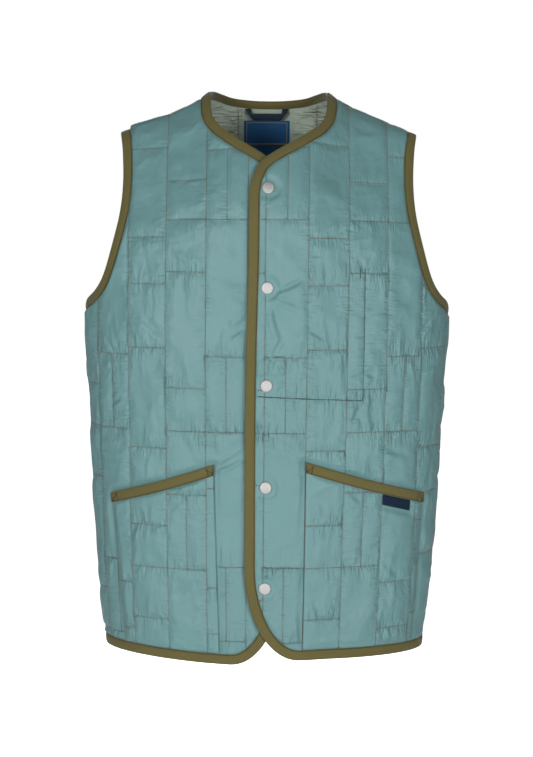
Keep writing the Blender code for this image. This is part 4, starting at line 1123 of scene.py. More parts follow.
def add_mesh(name, points, faces, materials, uvs=None, values=None, indices=None):
    """A smooth-shaded piece from points and faces, with any flat coordinates and named values of points."""
    mesh = bpy.data.meshes.new(name)
    mesh.from_pydata(np.asarray(points).tolist(), [], faces)
    for item in materials:
        mesh.materials.append(item)
    if indices is not None:
        mesh.polygons.foreach_set("material_index", np.asarray(indices, dtype=np.int32))
    corners = np.zeros(len(mesh.loops), dtype=np.int32)
    mesh.loops.foreach_get("vertex_index", corners)
    if uvs is not None:
        layer = mesh.uv_layers.new(name="cloth")
        layer.data.foreach_set("uv", np.asarray(uvs, dtype=np.float32)[corners].ravel())
    for label, numbers in (values or {}).items():
        attribute = mesh.attributes.new(label, "FLOAT", "POINT")
        attribute.data.foreach_set("value", np.asarray(numbers, dtype=np.float32))
    mesh.shade_smooth()
    piece = bpy.data.objects.new(name, mesh)
    bpy.context.scene.collection.objects.link(piece)
    return piece


def outward(piece):
    """Turn a closed piece's faces outward."""
    work = bmesh.new()
    work.from_mesh(piece.data)
    bmesh.ops.recalc_face_normals(work, faces=work.faces)
    if work.calc_volume(signed=True) < 0:
        bmesh.ops.reverse_faces(work, faces=work.faces)
    work.to_mesh(piece.data)
    work.free()
    return piece


def two_sided(layer):
    """Faces of a layer and of a turned copy of it, joined round the rim."""
    count = len(layer.flat)
    faces = list(layer.faces) + [tuple(count + i for i in reversed(face)) for face in layer.faces]
    for here, after in zip(layer.rim, layer.rim[1:] + layer.rim[:1]):
        faces.append((after, here, count + here, count + after))
    return faces


def settle(points, faces, held, frames):
    """Padded cloth settled by a short simulation: held points stay and the wadding presses on the rest."""
    sheet = add_mesh("settling", points, faces, [])
    group = sheet.vertex_groups.new(name="held")
    group.add([int(i) for i in np.flatnonzero(held)], 1.0, "REPLACE")
    cloth = sheet.modifiers.new("cloth", "CLOTH")
    settings = cloth.settings
    settings.vertex_group_mass = "held"
    settings.quality = 4
    settings.mass = 0.3
    settings.tension_stiffness = 12.0
    settings.compression_stiffness = 4.0
    settings.shear_stiffness = 3.0
    settings.bending_stiffness = 0.15
    settings.use_pressure = True
    settings.uniform_pressure_force = 2.0
    settings.effector_weights.gravity = 0.0
    cloth.collision_settings.use_collision = False
    scene = bpy.context.scene
    for number in range(1, frames + 1):
        scene.frame_set(number)
    shown = sheet.evaluated_get(bpy.context.evaluated_depsgraph_get()).to_mesh()
    moved = np.zeros(len(points) * 3, dtype=np.float32)
    shown.vertices.foreach_get("co", moved)
    scene.frame_set(1)
    mesh = sheet.data
    bpy.data.objects.remove(sheet)
    bpy.data.meshes.remove(mesh)
    return moved.reshape(-1, 3).astype(float)


def cloth_values(layer, relief, calm):
    """Values that the cloth's material reads: nearness to a seam, which sets the painted shade along stitch
    lines, and the draw of stitch lines.
    """
    return {
        # nearness to a stitch line, read as painted shade that darkens the cloth's colour
        "seam": np.where(layer.sewn, 1.0, 1.0 - np.clip(relief.seam / SEAM_SHADE_WIDE, 0.0, 1.0)),
        "upright": calm * np.clip(relief.upright, 0.0, None),
        "across": calm * np.clip(relief.across, 0.0, None),
    }


def add_quilted(panel, colours_outside, colours_inside):
    """A padded wall: quilted outside, plain inside."""
    sizes = bpy.context.scene.gilet_cloth
    outer = quilted_layer(panel, sizes.step)
    calm = panel.calm(outer.flat)
    relief = quilt_relief(panel, outer.flat, sizes.rise)
    bumps = sizes.pucker * relief.pucker + sizes.uneven * relief.puff * undulation(outer.flat)
    lift = SHELL + calm * (sizes.loft * relief.puff + bumps)
    base = panel.place(outer.flat, SHELL)
    normal = form_normals(panel.side, panel.hold(outer.flat))
    moved = panel.place(outer.flat, lift)
    if sizes.settle:
        moved = settle(moved, outer.faces, outer.sewn | (calm < HELD_CALM), sizes.settle)
    moved -= base
    rise = np.sum(moved * normal, axis=1)
    along = moved - rise[:, None] * normal
    free = ease(np.where(outer.sewn, 0.0, relief.seam) / CREASE_START)
    rise = np.clip(rise + free * crease_height(CREASES[panel.name], outer.flat), LEAST_RISE, MOST_RISE)
    points = base + calm[:, None] * (along + rise[:, None] * normal)
    inner = plain_layer(panel.loop, INNER_STEP)
    shift = len(outer.flat)
    faces = list(outer.faces)
    faces += [tuple(shift + i for i in reversed(face)) for face in inner.faces]
    rim = []
    for i in range(len(outer.rim)):
        after = (i + 1) % len(outer.rim)
        rim.append((outer.rim[after], outer.rim[i], shift + inner.rim[i], shift + inner.rim[after]))
    points = np.vstack((points, panel.place(inner.flat, 0.0)))
    uvs = np.vstack((outer.flat, inner.flat))
    values = cloth_values(outer, relief, calm)
    plain = np.zeros(len(inner.flat))
    values = {label: np.concatenate((numbers, plain)) for label, numbers in values.items()}
    indices = [0] * len(outer.faces) + [1] * len(inner.faces) + [0] * len(rim)
    materials = [colours_outside, colours_inside]
    piece = add_mesh(panel.name + "_cloth", points, faces + rim, materials, uvs, values, indices)
    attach(outward(piece), BODY)
    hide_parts(panel.name)


# Bindings

TapeRow = namedtuple("TapeRow", "reach top")
TAPE_TOP = (
    TapeRow(1.000, 0.00000),
    TapeRow(1.004, 0.00055),
    TapeRow(0.990, 0.00085),
    TapeRow(0.950, 0.00075),
    TapeRow(0.900, 0.00050),
    TapeRow(0.830, 0.00090),
    TapeRow(0.650, 0.00125),
    TapeRow(0.450, 0.00140),
    TapeRow(0.250, 0.00140),
    TapeRow(0.100, 0.00125),
    TapeRow(0.000, 0.00100),
)
TAPE_STITCH = 0.900
STITCH_ROW = 4
TACK_ROW = -3
NECK_UNDER = 0.72
TAPE_MEET = 0.15
TAPE_THICK = 0.0008
SEAM_RUN = 0.02
UNDER_RUN = 0.03
UNDER_TOP = 0.8
GATHER_LEAST = 0.35
GATHER_TURN = 18.0
RIPPLE = 0.00028
RIPPLE_WAVE = 0.0058
FINE_RIPPLE = 0.5
FINE_RIPPLE_WAVE = 0.0031
UNDER_RIPPLE = 0.0002
FOLD_STEPS = 7
Strip = namedtuple("Strip", "sections along")
BACKWARDS = slice(None, None, -1)
BETWEEN_ENDS = slice(1, -1)
BEFORE_END = slice(None, -1)


def tape_strip(panel, edge, depth, seam_depth=None, under=1.0):
    """Cross sections of a binding round one edge of a panel, over a lining of some depth.

    The depth may differ at the edge's ends, and the inner leg may be narrower than the outer one."""
    chain, normal = panel.edges[edge], panel.normals[edge]
    along = arc_lengths(panel.place(chain, SHELL))
    near_end = np.minimum(along, along[-1] - along)
    depths = np.full(len(chain), depth)
    if seam_depth is not None:
        depths = seam_depth + (depth - seam_depth) * ease(near_end / SEAM_RUN)
    turn = np.gradient(np.unwrap(np.arctan2(*np.gradient(chain, axis=0).T))) / np.gradient(along)
    gather = GATHER_LEAST + (1 - GATHER_LEAST) * ease(np.abs(turn) / GATHER_TURN)
    under = 1.0 + (under - 1.0) * ease(near_end / UNDER_RUN)
    wave = noise(along / RIPPLE_WAVE + len(chain))
    wave = wave + FINE_RIPPLE * noise(along / FINE_RIPPLE_WAVE + 3 * len(chain))
    columns = []
    high, low = SHELL + GAP, -depths - GAP
    for row in TAPE_TOP:
        body = math.sin(math.pi * min(max(row.reach, 0.0), 1.0))
        lift = high + row.top + RIPPLE * gather * wave * body
        columns.append(panel.place(chain + normal * row.reach * BINDING_WIDTH, lift))
    fold = np.linspace(0.0, math.pi, FOLD_STEPS)[1:-1]
    upper, lower = high + TAPE_TOP[-1].top, low - TAPE_THICK
    middle, half = 0.5 * (upper + lower), 0.5 * (upper - lower)
    for angle in fold:
        columns.append(panel.place(chain - normal * FOLD * math.sin(angle), middle + half * math.cos(angle)))
    for row in reversed(TAPE_TOP[1:]):
        lift = low - UNDER_TOP * row.top + UNDER_RIPPLE * gather * wave * row.reach
        columns.append(panel.place(chain + normal * (under * row.reach * BINDING_WIDTH)[:, None], lift))
    columns.append(panel.place(chain + normal * (under * BINDING_WIDTH)[:, None], low))
    columns.append(panel.place(chain - normal * 0.5 * GAP, low))
    columns.append(panel.place(chain - normal * 0.5 * GAP, high))
    return Strip(np.stack(columns, axis=1), along)


def cut_strip(strip, cut):
    """A strip's stations in a slice."""
    return Strip(strip.sections[cut], strip.along[cut])


def join_strips(*strips):
    """Strips joined end to end."""
    sections = np.concatenate([strip.sections for strip in strips])
    return Strip(sections, arc_lengths(sections[:, len(TAPE_TOP) // 2]))


def lengthened(sections, share):
    """Cross sections with the first and the last moved outward by a share of a station."""
    sections = sections.copy()
    sections[0] += share * (sections[0] - sections[1])
    sections[-1] += share * (sections[-1] - sections[-2])
    return sections


def add_tape(name, strip, colour, closed=False):
    """A binding lofted through its cross sections, over the edges of some cloths."""
    if not closed:
        strip = Strip(lengthened(strip.sections, TAPE_MEET), strip.along)
    count, around = strip.sections.shape[:2]
    points = strip.sections.reshape(-1, 3)
    faces = []
    for i in range(count if closed else count - 1):
        after = (i + 1) % count
        for j in range(around):
            k = (j + 1) % around
            faces.append((i * around + j, i * around + k, after * around + k, after * around + j))
    if not closed:
        faces.append(tuple(range(around)))
        faces.append(tuple((count - 1) * around + j for j in reversed(range(around))))
    across = np.tile(np.linspace(0.0, 3 * BINDING_WIDTH, around), count)
    uvs = np.stack((np.repeat(strip.along, around), across), axis=1)
    piece = outward(add_mesh(name + "_tape", points, faces, [colour], uvs))
    piece.data.set_sharp_from_angle(angle=SHARP)
    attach(piece, BODY)
    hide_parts(name)


# Stitching

Dash = namedtuple("Dash", "start end hole up")
DASH_SHARE = 0.56
DASH_START = 0.2
DASH_POINTS = 6
UP_STEP = 0.001
THREAD_HIGH = 0.45
THREAD_SIDES = 4
THREAD_SINK = 0.2
THREAD_RINGS = ((0.18, 0.85), (0.5, 1.0), (0.82, 0.85))
SEAM_THREAD = 1.2
STITCH_LIFT = 0.1
LINE_STEP = 0.001
LEAST_RUN = 4
HOLE_LONG = 1.15
HOLE_WIDE = 0.62
HOLE_HIGH = 0.20
HOLE_OUTLINE = ((1.0, 0.0), (0.5, 1.0), (-0.5, 1.0), (-1.0, 0.0), (-0.5, -1.0), (0.5, -1.0))


def dashes_along(place, chain, lift, pitch):
    """Stitches along a chain of flat points, and after each the place of a dark dot, painted shade standing
    in for the needle holes.
    """
    chain = resample(chain, pitch / DASH_POINTS)
    spots = place(chain, lift)
    above = place(chain, lift + UP_STEP)
    length = arc_lengths(spots)
    starts = np.arange(DASH_START * pitch, length[-1] - DASH_SHARE * pitch, pitch)

    def read(values, share):
        at = starts + share * pitch
        return np.stack([np.interp(at, length, values[:, axis]) for axis in range(3)], axis=1)

    up = read(above - spots, 0.5 * DASH_SHARE)
    up /= np.linalg.norm(up, axis=1, keepdims=True)
    return Dash(read(spots, 0.0), read(spots, DASH_SHARE), read(spots, 0.5 + 0.5 * DASH_SHARE), up)


def copies(points, pattern):
    """Faces of a pattern repeated for each row of points."""
    bases = np.arange(len(points)) * points.shape[1]
    return [tuple(base + i for i in face) for base in bases.tolist() for face in pattern]


def add_stitches(name, dashes, width, colour):
    """One mesh of many short rounded stitches and the dark dots between them, painted shade in the needle
    holes.
    """
    start, end, hole, up = (np.vstack([getattr(dash, part) for dash in dashes]) for part in Dash._fields)
    run = end - start
    run /= np.maximum(np.linalg.norm(run, axis=1, keepdims=True), TINY)
    side = np.cross(run, up)
    half, high = 0.5 * width, THREAD_HIGH * width
    turns = np.linspace(0.0, 2 * math.pi, THREAD_SIDES, endpoint=False)
    rings = [(start - THREAD_SINK * high * up)[:, None]]
    for share, wide in THREAD_RINGS:
        centre = start + (end - start) * share
        ring = [centre + wide * (half * side * math.cos(turn) + high * up * math.sin(turn)) for turn in turns]
        rings.append(np.stack(ring, axis=1))
    rings.append((end - THREAD_SINK * high * up)[:, None])
    points = np.concatenate(rings, axis=1)
    last = points.shape[1] - 1
    around = [(j, (j + 1) % THREAD_SIDES) for j in range(THREAD_SIDES)]
    pattern = [(0, 1 + k, 1 + j) for j, k in around]
    for ring in (1, 1 + THREAD_SIDES):
        pattern += [(ring + j, ring + k, ring + THREAD_SIDES + k, ring + THREAD_SIDES + j) for j, k in around]
    pattern += [(last - THREAD_SIDES + j, last - THREAD_SIDES + k, last) for j, k in around]
    faces = copies(points, pattern)
    # dark dots between the stitches: painted shade for the needle holes
    long = HOLE_LONG * np.linalg.norm(hole - end, axis=1, keepdims=True) * run
    wide, tall = HOLE_WIDE * width * side, HOLE_HIGH * width * up
    dots = [hole + ahead * long + aside * wide for ahead, aside in HOLE_OUTLINE]
    dots = np.stack(dots + [hole + tall, hole - tall], axis=1)
    count = len(HOLE_OUTLINE)
    corners = [(j, (j + 1) % count) for j in range(count)]
    shift = points.shape[0] * points.shape[1]
    dark = copies(dots, [(j, k, count) for j, k in corners] + [(k, j, count + 1) for j, k in corners])
    faces += [tuple(shift + i for i in face) for face in dark]
    every = np.vstack((points.reshape(-1, 3), dots.reshape(-1, 3)))
    indices = [0] * (len(faces) - len(dark)) + [1] * len(dark)
    piece = outward(add_mesh(name, every, faces, [colour, cloth("hole")], indices=indices))
    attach(piece, BODY)


def quilting_dashes(panel, lift, pitch):
    """Stitches along all the quilting lines of a panel that show."""
    lines = stitch_lines(bricks_of(panel.quilting, panel.loop))
    chains = [resample(np.array(line), LINE_STEP) for line in lines]
    every = np.vstack(chains)
    keep = inside(every, panel.loop)
    for name in panel.bound:
        keep &= distance(every, panel.edges[name]) > TAPE_COVER
    for loop in panel.flattened:
        keep &= ~inside(every, loop)
    for centre in panel.discs:
        keep &= np.linalg.norm(every - centre, axis=1) > SNAP_RADIUS
    found = []
    for chain, kept in zip(chains, split_like(keep, chains)):
        shown = [run for run in runs(chain, kept) if len(run) > LEAST_RUN]
        found += [dashes_along(panel.place, run, lift, pitch) for run in shown]
    return found


TACK_LONG = 0.0095
TACK_INSET = 0.0012
TACK_STITCH = 0.0022


def tack_lines(pocket):
    """Lines of the box and diagonal stitched across each end of a pocket's binding."""
    mouth, inward = pocket.edges["mouth"], pocket.normals["mouth"]
    length = arc_lengths(mouth)
    lines = []
    for first, second in ((TACK_INSET, TACK_LONG), (length[-1] - TACK_INSET, length[-1] - TACK_LONG)):
        corners = []
        for at in (first, second):
            spot = np.array([np.interp(at, length, mouth[:, axis]) for axis in range(2)])
            across = np.array([np.interp(at, length, inward[:, axis]) for axis in range(2)])
            corners.append((spot + TACK_INSET * across, spot + (BINDING_WIDTH - TACK_INSET) * across))
        (near_top, near_foot), (far_top, far_foot) = corners
        lines += [(near_top, near_foot), (far_top, far_foot), (near_foot, far_top)]
    return lines


# Materials

FINE_LONG = 70.0
FINE_ACROSS = 290.0
# painted shade along the stitch lines: how fast it fades and how dark it gets
SEAM_SHADE_FADE = 14.0
SEAM_SHADE = 0.45


def new_group(name, inputs, outputs):
    """An empty shader node group with named sockets."""
    group = bpy.data.node_groups.new(name, "ShaderNodeTree")
    for label, kind, value in inputs:
        socket = group.interface.new_socket(name=label, in_out="INPUT", socket_type=kind)
        if value is not None:
            socket.default_value = value
    for label, kind in outputs:
        group.interface.new_socket(name=label, in_out="OUTPUT", socket_type=kind)
    return group, group.nodes.new("NodeGroupInput"), group.nodes.new("NodeGroupOutput")


def math_node(tree, operation, first, second=None):
    """A Math node's output, from sockets or values."""
    node = tree.nodes.new("ShaderNodeMath")
    node.operation = operation
    for socket, value in zip(node.inputs, (first, second)):
        if value is None:
            continue
        if isinstance(value, (int, float)):
            socket.default_value = value
        else:
            tree.links.new(value, socket)
    return node.outputs[0]


def weave_group():
    """Plain weave: the height of threads over and under each other."""
    found = bpy.data.node_groups.get("Weave")
    if found:
        return found
    inputs = (("Vector", "NodeSocketVector", None), ("Threads", "NodeSocketFloat", 2000.0),
              ("Rib", "NodeSocketFloat", 1.0))
    group, start, end = new_group("Weave", inputs, (("Height", "NodeSocketFloat"),))
    split = group.nodes.new("ShaderNodeSeparateXYZ")
    group.links.new(start.outputs["Vector"], split.inputs[0])
    turn = math_node(group, "MULTIPLY", start.outputs["Threads"], math.pi)
    warp = math_node(group, "SINE", math_node(group, "MULTIPLY", split.outputs[0], turn))
    weft = math_node(group, "SINE", math_node(group, "MULTIPLY", split.outputs[1], turn))
    over = math_node(group, "MULTIPLY", warp, weft)
    rib = math_node(group, "MULTIPLY", math_node(group, "ABSOLUTE", warp), start.outputs["Rib"])
    group.links.new(math_node(group, "ADD", over, rib), end.inputs["Height"])
    return group


def crinkle_group():
    """Soft crinkles of thin cloth."""
    found = bpy.data.node_groups.get("Crinkle")
    if found:
        return found
    inputs = (("Vector", "NodeSocketVector", None), ("Scale", "NodeSocketFloat", 120.0))
    group, start, end = new_group("Crinkle", inputs, (("Height", "NodeSocketFloat"),))
    broad = group.nodes.new("ShaderNodeTexNoise")
    broad.inputs["Detail"].default_value = 1.0
    broad.inputs["Distortion"].default_value = 0.4
    group.links.new(start.outputs["Vector"], broad.inputs["Vector"])
    group.links.new(start.outputs["Scale"], broad.inputs["Scale"])
    group.links.new(broad.outputs["Fac"], end.inputs["Height"])
    return group


def pucker_group():
    """Fine puckers square to the stitch lines, where these draw the cloth up."""
    found = bpy.data.node_groups.get("Fine puckers")
    if found:
        return found
    inputs = (("Vector", "NodeSocketVector", None), ("Upright", "NodeSocketFloat", 0.0),
              ("Across", "NodeSocketFloat", 0.0))
    group, start, end = new_group("Fine puckers", inputs, (("Height", "NodeSocketFloat"),))
    parts = []
    scales = {"Upright": (FINE_LONG, FINE_ACROSS, 1.0), "Across": (FINE_ACROSS, FINE_LONG, 1.0)}
    for line, scale in scales.items():
        stretch = group.nodes.new("ShaderNodeMapping")
        stretch.inputs["Scale"].default_value = scale
        group.links.new(start.outputs["Vector"], stretch.inputs["Vector"])
        wave = group.nodes.new("ShaderNodeTexNoise")
        wave.inputs["Scale"].default_value = 1.0
        wave.inputs["Detail"].default_value = 1.0
        wave.inputs["Distortion"].default_value = 0.5
        group.links.new(stretch.outputs["Vector"], wave.inputs["Vector"])
        parts.append(math_node(group, "MULTIPLY", wave.outputs["Fac"], start.outputs[line]))
    group.links.new(math_node(group, "ADD", *parts), end.inputs["Height"])
    return group


def tone_and_seam_shade_group():
    """Cloth colour that varies softly in tone and darkens close to a stitch line: painted shade for the
    quilting's valleys.
    """
    found = bpy.data.node_groups.get("Cloth tone")
    if found:
        return found
    inputs = (("Vector", "NodeSocketVector", None), ("Colour", "NodeSocketColor", None),
              ("Deep", "NodeSocketColor", None), ("Seam", "NodeSocketFloat", 0.0),
              ("Variation", "NodeSocketFloat", 0.3))
    group, start, end = new_group("Cloth tone", inputs, (("Colour", "NodeSocketColor"),))
    cloud = group.nodes.new("ShaderNodeTexNoise")
    cloud.inputs["Scale"].default_value = 14.0
    cloud.inputs["Detail"].default_value = 4.0
    group.links.new(start.outputs["Vector"], cloud.inputs["Vector"])
    shade = math_node(group, "MULTIPLY", cloud.outputs["Fac"], start.outputs["Variation"])
    # painted shade: close to a stitch line the colour darkens towards the deep colour
    near = math_node(group, "POWER", start.outputs["Seam"], SEAM_SHADE_FADE)
    amount = math_node(group, "MAXIMUM", shade, math_node(group, "MULTIPLY", near, SEAM_SHADE))
    mix = group.nodes.new("ShaderNodeMix")
    mix.data_type = "RGBA"
    group.links.new(amount, mix.inputs["Factor"])
    group.links.new(start.outputs["Colour"], mix.inputs["A"])
    group.links.new(start.outputs["Deep"], mix.inputs["B"])
    group.links.new(mix.outputs["Result"], end.inputs["Colour"])
    return group


def group_node(tree, group, **values):
    """A group placed in a material with its own values."""
    node = tree.nodes.new("ShaderNodeGroup")
    node.node_tree = group
    for label, value in values.items():
        socket = node.inputs[label]
        if isinstance(value, bpy.types.NodeSocket):
            tree.links.new(value, socket)
        else:
            socket.default_value = value
    return node


Finish = namedtuple(
    "Finish", "roughness specular sheen threads rib weave crinkle_scale crinkle variation puckers")
FINISHES = {
    "shell": Finish(0.50, 0.42, 0.12, 2400.0, 0.2, 0.00002, 75.0, 0.0010, 0.12, 0.0040),
    "lining": Finish(0.50, 0.35, 0.05, 2400.0, 0.2, 0.00002, 80.0, 0.0010, 0.16, 0.0070),
    "binding": Finish(0.72, 0.30, 0.20, 1300.0, 0.8, 0.00010, 110.0, 0.0006, 0.25, 0.0),
    "label": Finish(0.62, 0.15, 0.03, 1600.0, 0.6, 0.00010, 160.0, 0.0002, 0.25, 0.0),
    "thread": Finish(0.70, 0.25, 0.10, 1800.0, 0.5, 0.00005, 160.0, 0.0001, 0.25, 0.0),
}
# share of a cloth's colour that its soft tone changes and the painted shade along stitch lines darken towards
DARKER_TONE_AND_SHADE = 0.22


def point_value(tree, label):
    """Output that reads a named value of the mesh."""
    node = tree.nodes.new("ShaderNodeAttribute")
    node.attribute_name = label
    return node.outputs["Fac"]


def bump(tree, height, depth, under=None):
    """Normal of a face raised by a height of some depth, over another such normal if given."""
    node = tree.nodes.new("ShaderNodeBump")
    node.inputs["Distance"].default_value = depth
    node.inputs["Strength"].default_value = 1.0
    tree.links.new(height, node.inputs["Height"])
    if under is not None:
        tree.links.new(under, node.inputs["Normal"])
    return node.outputs["Normal"]


def cloth_material(name, finish, colour):
    """Woven cloth: its own tone, weave, crinkles and sheen."""
    found = bpy.data.materials.get(name)
    if found:
        return found
    found = bpy.data.materials.new(name)
    found.use_nodes = True
    tree = found.node_tree
    shader = tree.nodes["Principled BSDF"]
    values = FINISHES[finish]
    shader.inputs["Roughness"].default_value = values.roughness
    shader.inputs["Specular IOR Level"].default_value = values.specular
    shader.inputs["Sheen Weight"].default_value = values.sheen
    shader.inputs["Sheen Roughness"].default_value = 0.4
    uv = tree.nodes.new("ShaderNodeUVMap")
    uv.uv_map = "cloth"
    flat = uv.outputs["UV"]
    place = tree.nodes.new("ShaderNodeTexCoord").outputs["Object"]
    deep = tuple(DARKER_TONE_AND_SHADE * value for value in colour)
    tone = group_node(tree, tone_and_seam_shade_group(), Vector=place, Colour=(*colour, 1.0), Deep=(*deep, 1.0),
                      Variation=values.variation)
    tree.links.new(tone.outputs["Colour"], shader.inputs["Base Color"])
    weave = group_node(tree, weave_group(), Vector=flat, Threads=values.threads, Rib=values.rib)
    crinkle = group_node(tree, crinkle_group(), Vector=place, Scale=values.crinkle_scale)
    normal = None
    if values.puckers:
        # nearness to a stitch line darkens the colour as painted shade
        tree.links.new(point_value(tree, "seam"), tone.inputs["Seam"])
        lines = {"Upright": point_value(tree, "upright"), "Across": point_value(tree, "across")}
        puckers = group_node(tree, pucker_group(), Vector=flat, **lines)
        normal = bump(tree, puckers.outputs["Height"], values.puckers)
    normal = bump(tree, crinkle.outputs["Height"], values.crinkle, normal)
    normal = bump(tree, weave.outputs["Height"], values.weave, normal)
    tree.links.new(normal, shader.inputs["Normal"])
    return found


def snap_material(colour):
    """Satin metal with faint handling marks."""
    found = bpy.data.materials.get("snap metal")
    if found:
        return found
    found = bpy.data.materials.new("snap metal")
    found.use_nodes = True
    tree = found.node_tree
    shader = tree.nodes["Principled BSDF"]
    shader.inputs["Base Color"].default_value = (*colour, 1.0)
    shader.inputs["Metallic"].default_value = 1.0
    marks = tree.nodes.new("ShaderNodeTexNoise")
    marks.inputs["Scale"].default_value = 900.0
    marks.inputs["Detail"].default_value = 3.0
    tree.links.new(tree.nodes.new("ShaderNodeTexCoord").outputs["Object"], marks.inputs["Vector"])
    spread = tree.nodes.new("ShaderNodeMapRange")
    spread.inputs["To Min"].default_value = 0.58
    spread.inputs["To Max"].default_value = 0.72
    tree.links.new(marks.outputs["Fac"], spread.inputs["Value"])
    tree.links.new(spread.outputs["Result"], shader.inputs["Roughness"])
    return found


SHARED_FINISH = {
    "border": "label", "loop": "label", "pocket_tab": "label",
    "dark_thread": "thread", "tape_thread": "thread", "hole": "thread",
}


def cloth(part):
    """The material of one of the gilet's cloths or threads."""
    colours = bpy.context.scene.gilet_colours
    finish = SHARED_FINISH.get(part, part)
    return cloth_material(part.replace("_", " ") + " cloth", finish, tuple(getattr(colours, part)))


# Fittings

SnapRow = namedtuple("SnapRow", "radius height")
SNAP_CAP = (
    SnapRow(0.00000, 0.00205),
    SnapRow(0.00300, 0.00202),
    SnapRow(0.00490, 0.00194),
    SnapRow(0.00520, 0.00178),
    SnapRow(0.00550, 0.00190),
    SnapRow(0.00640, 0.00172),
    SnapRow(0.00700, 0.00135),
    SnapRow(0.00740, 0.00080),
    SnapRow(0.00750, 0.00040),
    SnapRow(0.00735, 0.00000),
    SnapRow(0.00000, 0.00000),
)
SNAP_STUD = (
    SnapRow(0.0000, 0.0011),
    SnapRow(0.0046, 0.0011),
    SnapRow(0.0050, 0.0009),
    SnapRow(0.0050, 0.0000),
    SnapRow(0.0000, 0.0000),
)
SNAP_SIDES = 48
PLATE_RIM_STEP = 0.0015
PLATE_STEP = 0.0020
PLATE_EDGE = 0.0012
PLATE_EDGE_THICK = 0.45
BORDER_SLIT = 0.02


def seat(panel, centre, lift):
    """Matrix that stands a turned piece on a panel's outer face."""
    spot = np.array([centre, centre + (SLOPE_STEP, 0.0), centre + (0.0, SLOPE_STEP)])
    origin, across, along = panel.place(spot, lift)
    x = Vector(across - origin).normalized()
    z = Vector(np.cross(along - origin, across - origin)).normalized()
    y = z.cross(x)
    return Matrix.Translation(Vector(origin)) @ Matrix((x, y, z)).transposed().to_4x4()


def add_turned(name, rows, matrix, colour):
    """A turned metal piece from its profile."""
    work = bmesh.new()
    points = [work.verts.new((row.radius, 0.0, row.height)) for row in rows]
    rim = [work.edges.new(pair) for pair in zip(points, points[1:])]
    bmesh.ops.spin(
        work, geom=points + rim, cent=(0, 0, 0), axis=(0, 0, 1), angle=2 * math.pi, steps=SNAP_SIDES)
    bmesh.ops.remove_doubles(work, verts=work.verts, dist=SNAP_WELD)
    bmesh.ops.recalc_face_normals(work, faces=work.faces)
    work.transform(matrix)
    mesh = bpy.data.meshes.new(name)
    work.to_mesh(mesh)
    work.free()
    mesh.shade_smooth()
    mesh.set_sharp_from_angle(angle=SHARP)
    mesh.materials.append(colour)
    piece = bpy.data.objects.new(name + "_metal", mesh)
    bpy.context.scene.collection.objects.link(piece)
    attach(piece, BODY)
    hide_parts(name)


def add_plate(name, loop, place, near, far, colour):
    """A thin flat piece between two lifts, which may change over it."""
    outline = closed_chain(loop)
    layer = plain_layer(resample(outline, PLATE_RIM_STEP)[:-1], PLATE_STEP)
    edge = ease(distance(layer.flat, outline) / PLATE_EDGE)
    thick = PLATE_EDGE_THICK + (1 - PLATE_EDGE_THICK) * edge
    middle = 0.5 * (near(layer.flat) + far(layer.flat))
    points = [place(layer.flat, middle + (face(layer.flat) - middle) * thick) for face in (near, far)]
    uvs = np.vstack((layer.flat, layer.flat))
    piece = outward(add_mesh(name, np.vstack(points), two_sided(layer), [colour], uvs))
    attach(piece, BODY)
    return piece


def rectangle(half, top, bottom):
    """Corners of a level rectangle about the label's centre line."""
    corners = ((-half, top), (half, top), (half, bottom), (-half, bottom))
    return np.array(corners) + (LABEL_CENTRE, 0.0)


def neck_label_area():
    """Outline round the label, its tab and the loop."""
    return rectangle(LABEL_HALF_WIDTH, BACK_NECK[-1].down, LABEL_TAB_BOTTOM)


def loop_outline():
    """Outline of the hanger loop's tape, open at the top where its ends go under the binding."""
    top = BACK_NECK[-1].down + NECK_UNDER * BINDING_WIDTH - GAP
    outline = (
        (-LOOP_TOP_HALF, top),
        (-LOOP_BOTTOM_HALF, LOOP_BOTTOM),
        (LOOP_BOTTOM_HALF, LOOP_BOTTOM),
        (LOOP_TOP_HALF, top),
        (LOOP_TOP_HALF - LOOP_LEG, top),
        (LOOP_TOP_HALF - LOOP_LEG, LOOP_BOTTOM - LOOP_TAPE),
        (-LOOP_TOP_HALF + LOOP_LEG, LOOP_BOTTOM - LOOP_TAPE),
        (-LOOP_TOP_HALF + LOOP_LEG, top),
    )
    return np.array(outline) + (LABEL_CENTRE, 0.0)


def tab_outline(pocket):
    """Corners of the pocket tab, hanging from under the pocket's binding."""
    mouth = pocket.edges["mouth"]
    slope = np.gradient(mouth[:, 1], mouth[:, 0])
    corners = []
    for girth, drop in ((TAB_INNER, 0.0), (TAB_OUTER, 0.0), (TAB_OUTER, TAB_LENGTH), (TAB_INNER, TAB_LENGTH)):
        lean = math.hypot(1.0, np.interp(girth, mouth[:, 0], slope))
        fall = np.interp(girth, mouth[:, 0], mouth[:, 1]) + (BINDING_WIDTH + GAP + drop) * lean
        corners.append((girth, fall))
    return np.array(corners)


def level(value):
    """A lift that is the same everywhere."""
    return lambda flat: np.full(len(flat), value)


def frame_outline(corners, inset, width):
    """Outline of a thin woven frame inside a rectangle, cut open at one corner."""
    centre = corners.mean(axis=0)
    outer = centre + (corners - centre) * (1 - 2 * inset / np.ptp(corners, axis=0))
    inner = centre + (corners - centre) * (1 - 2 * (inset + width) / np.ptp(corners, axis=0))
    slit = BORDER_SLIT * width
    return np.vstack((outer, outer[:1] + (0.0, slit), inner[:1] + (0.0, slit), inner[::-1]))


# Operators


class GILET_OT_back(bpy.types.Operator):
    """Build the quilted back"""

    bl_idname = "gilet.back"
    bl_label = "Back"

    def execute(self, context):
        add_quilted(panels()["back"], cloth("shell"), cloth("lining"))
        return {"FINISHED"}


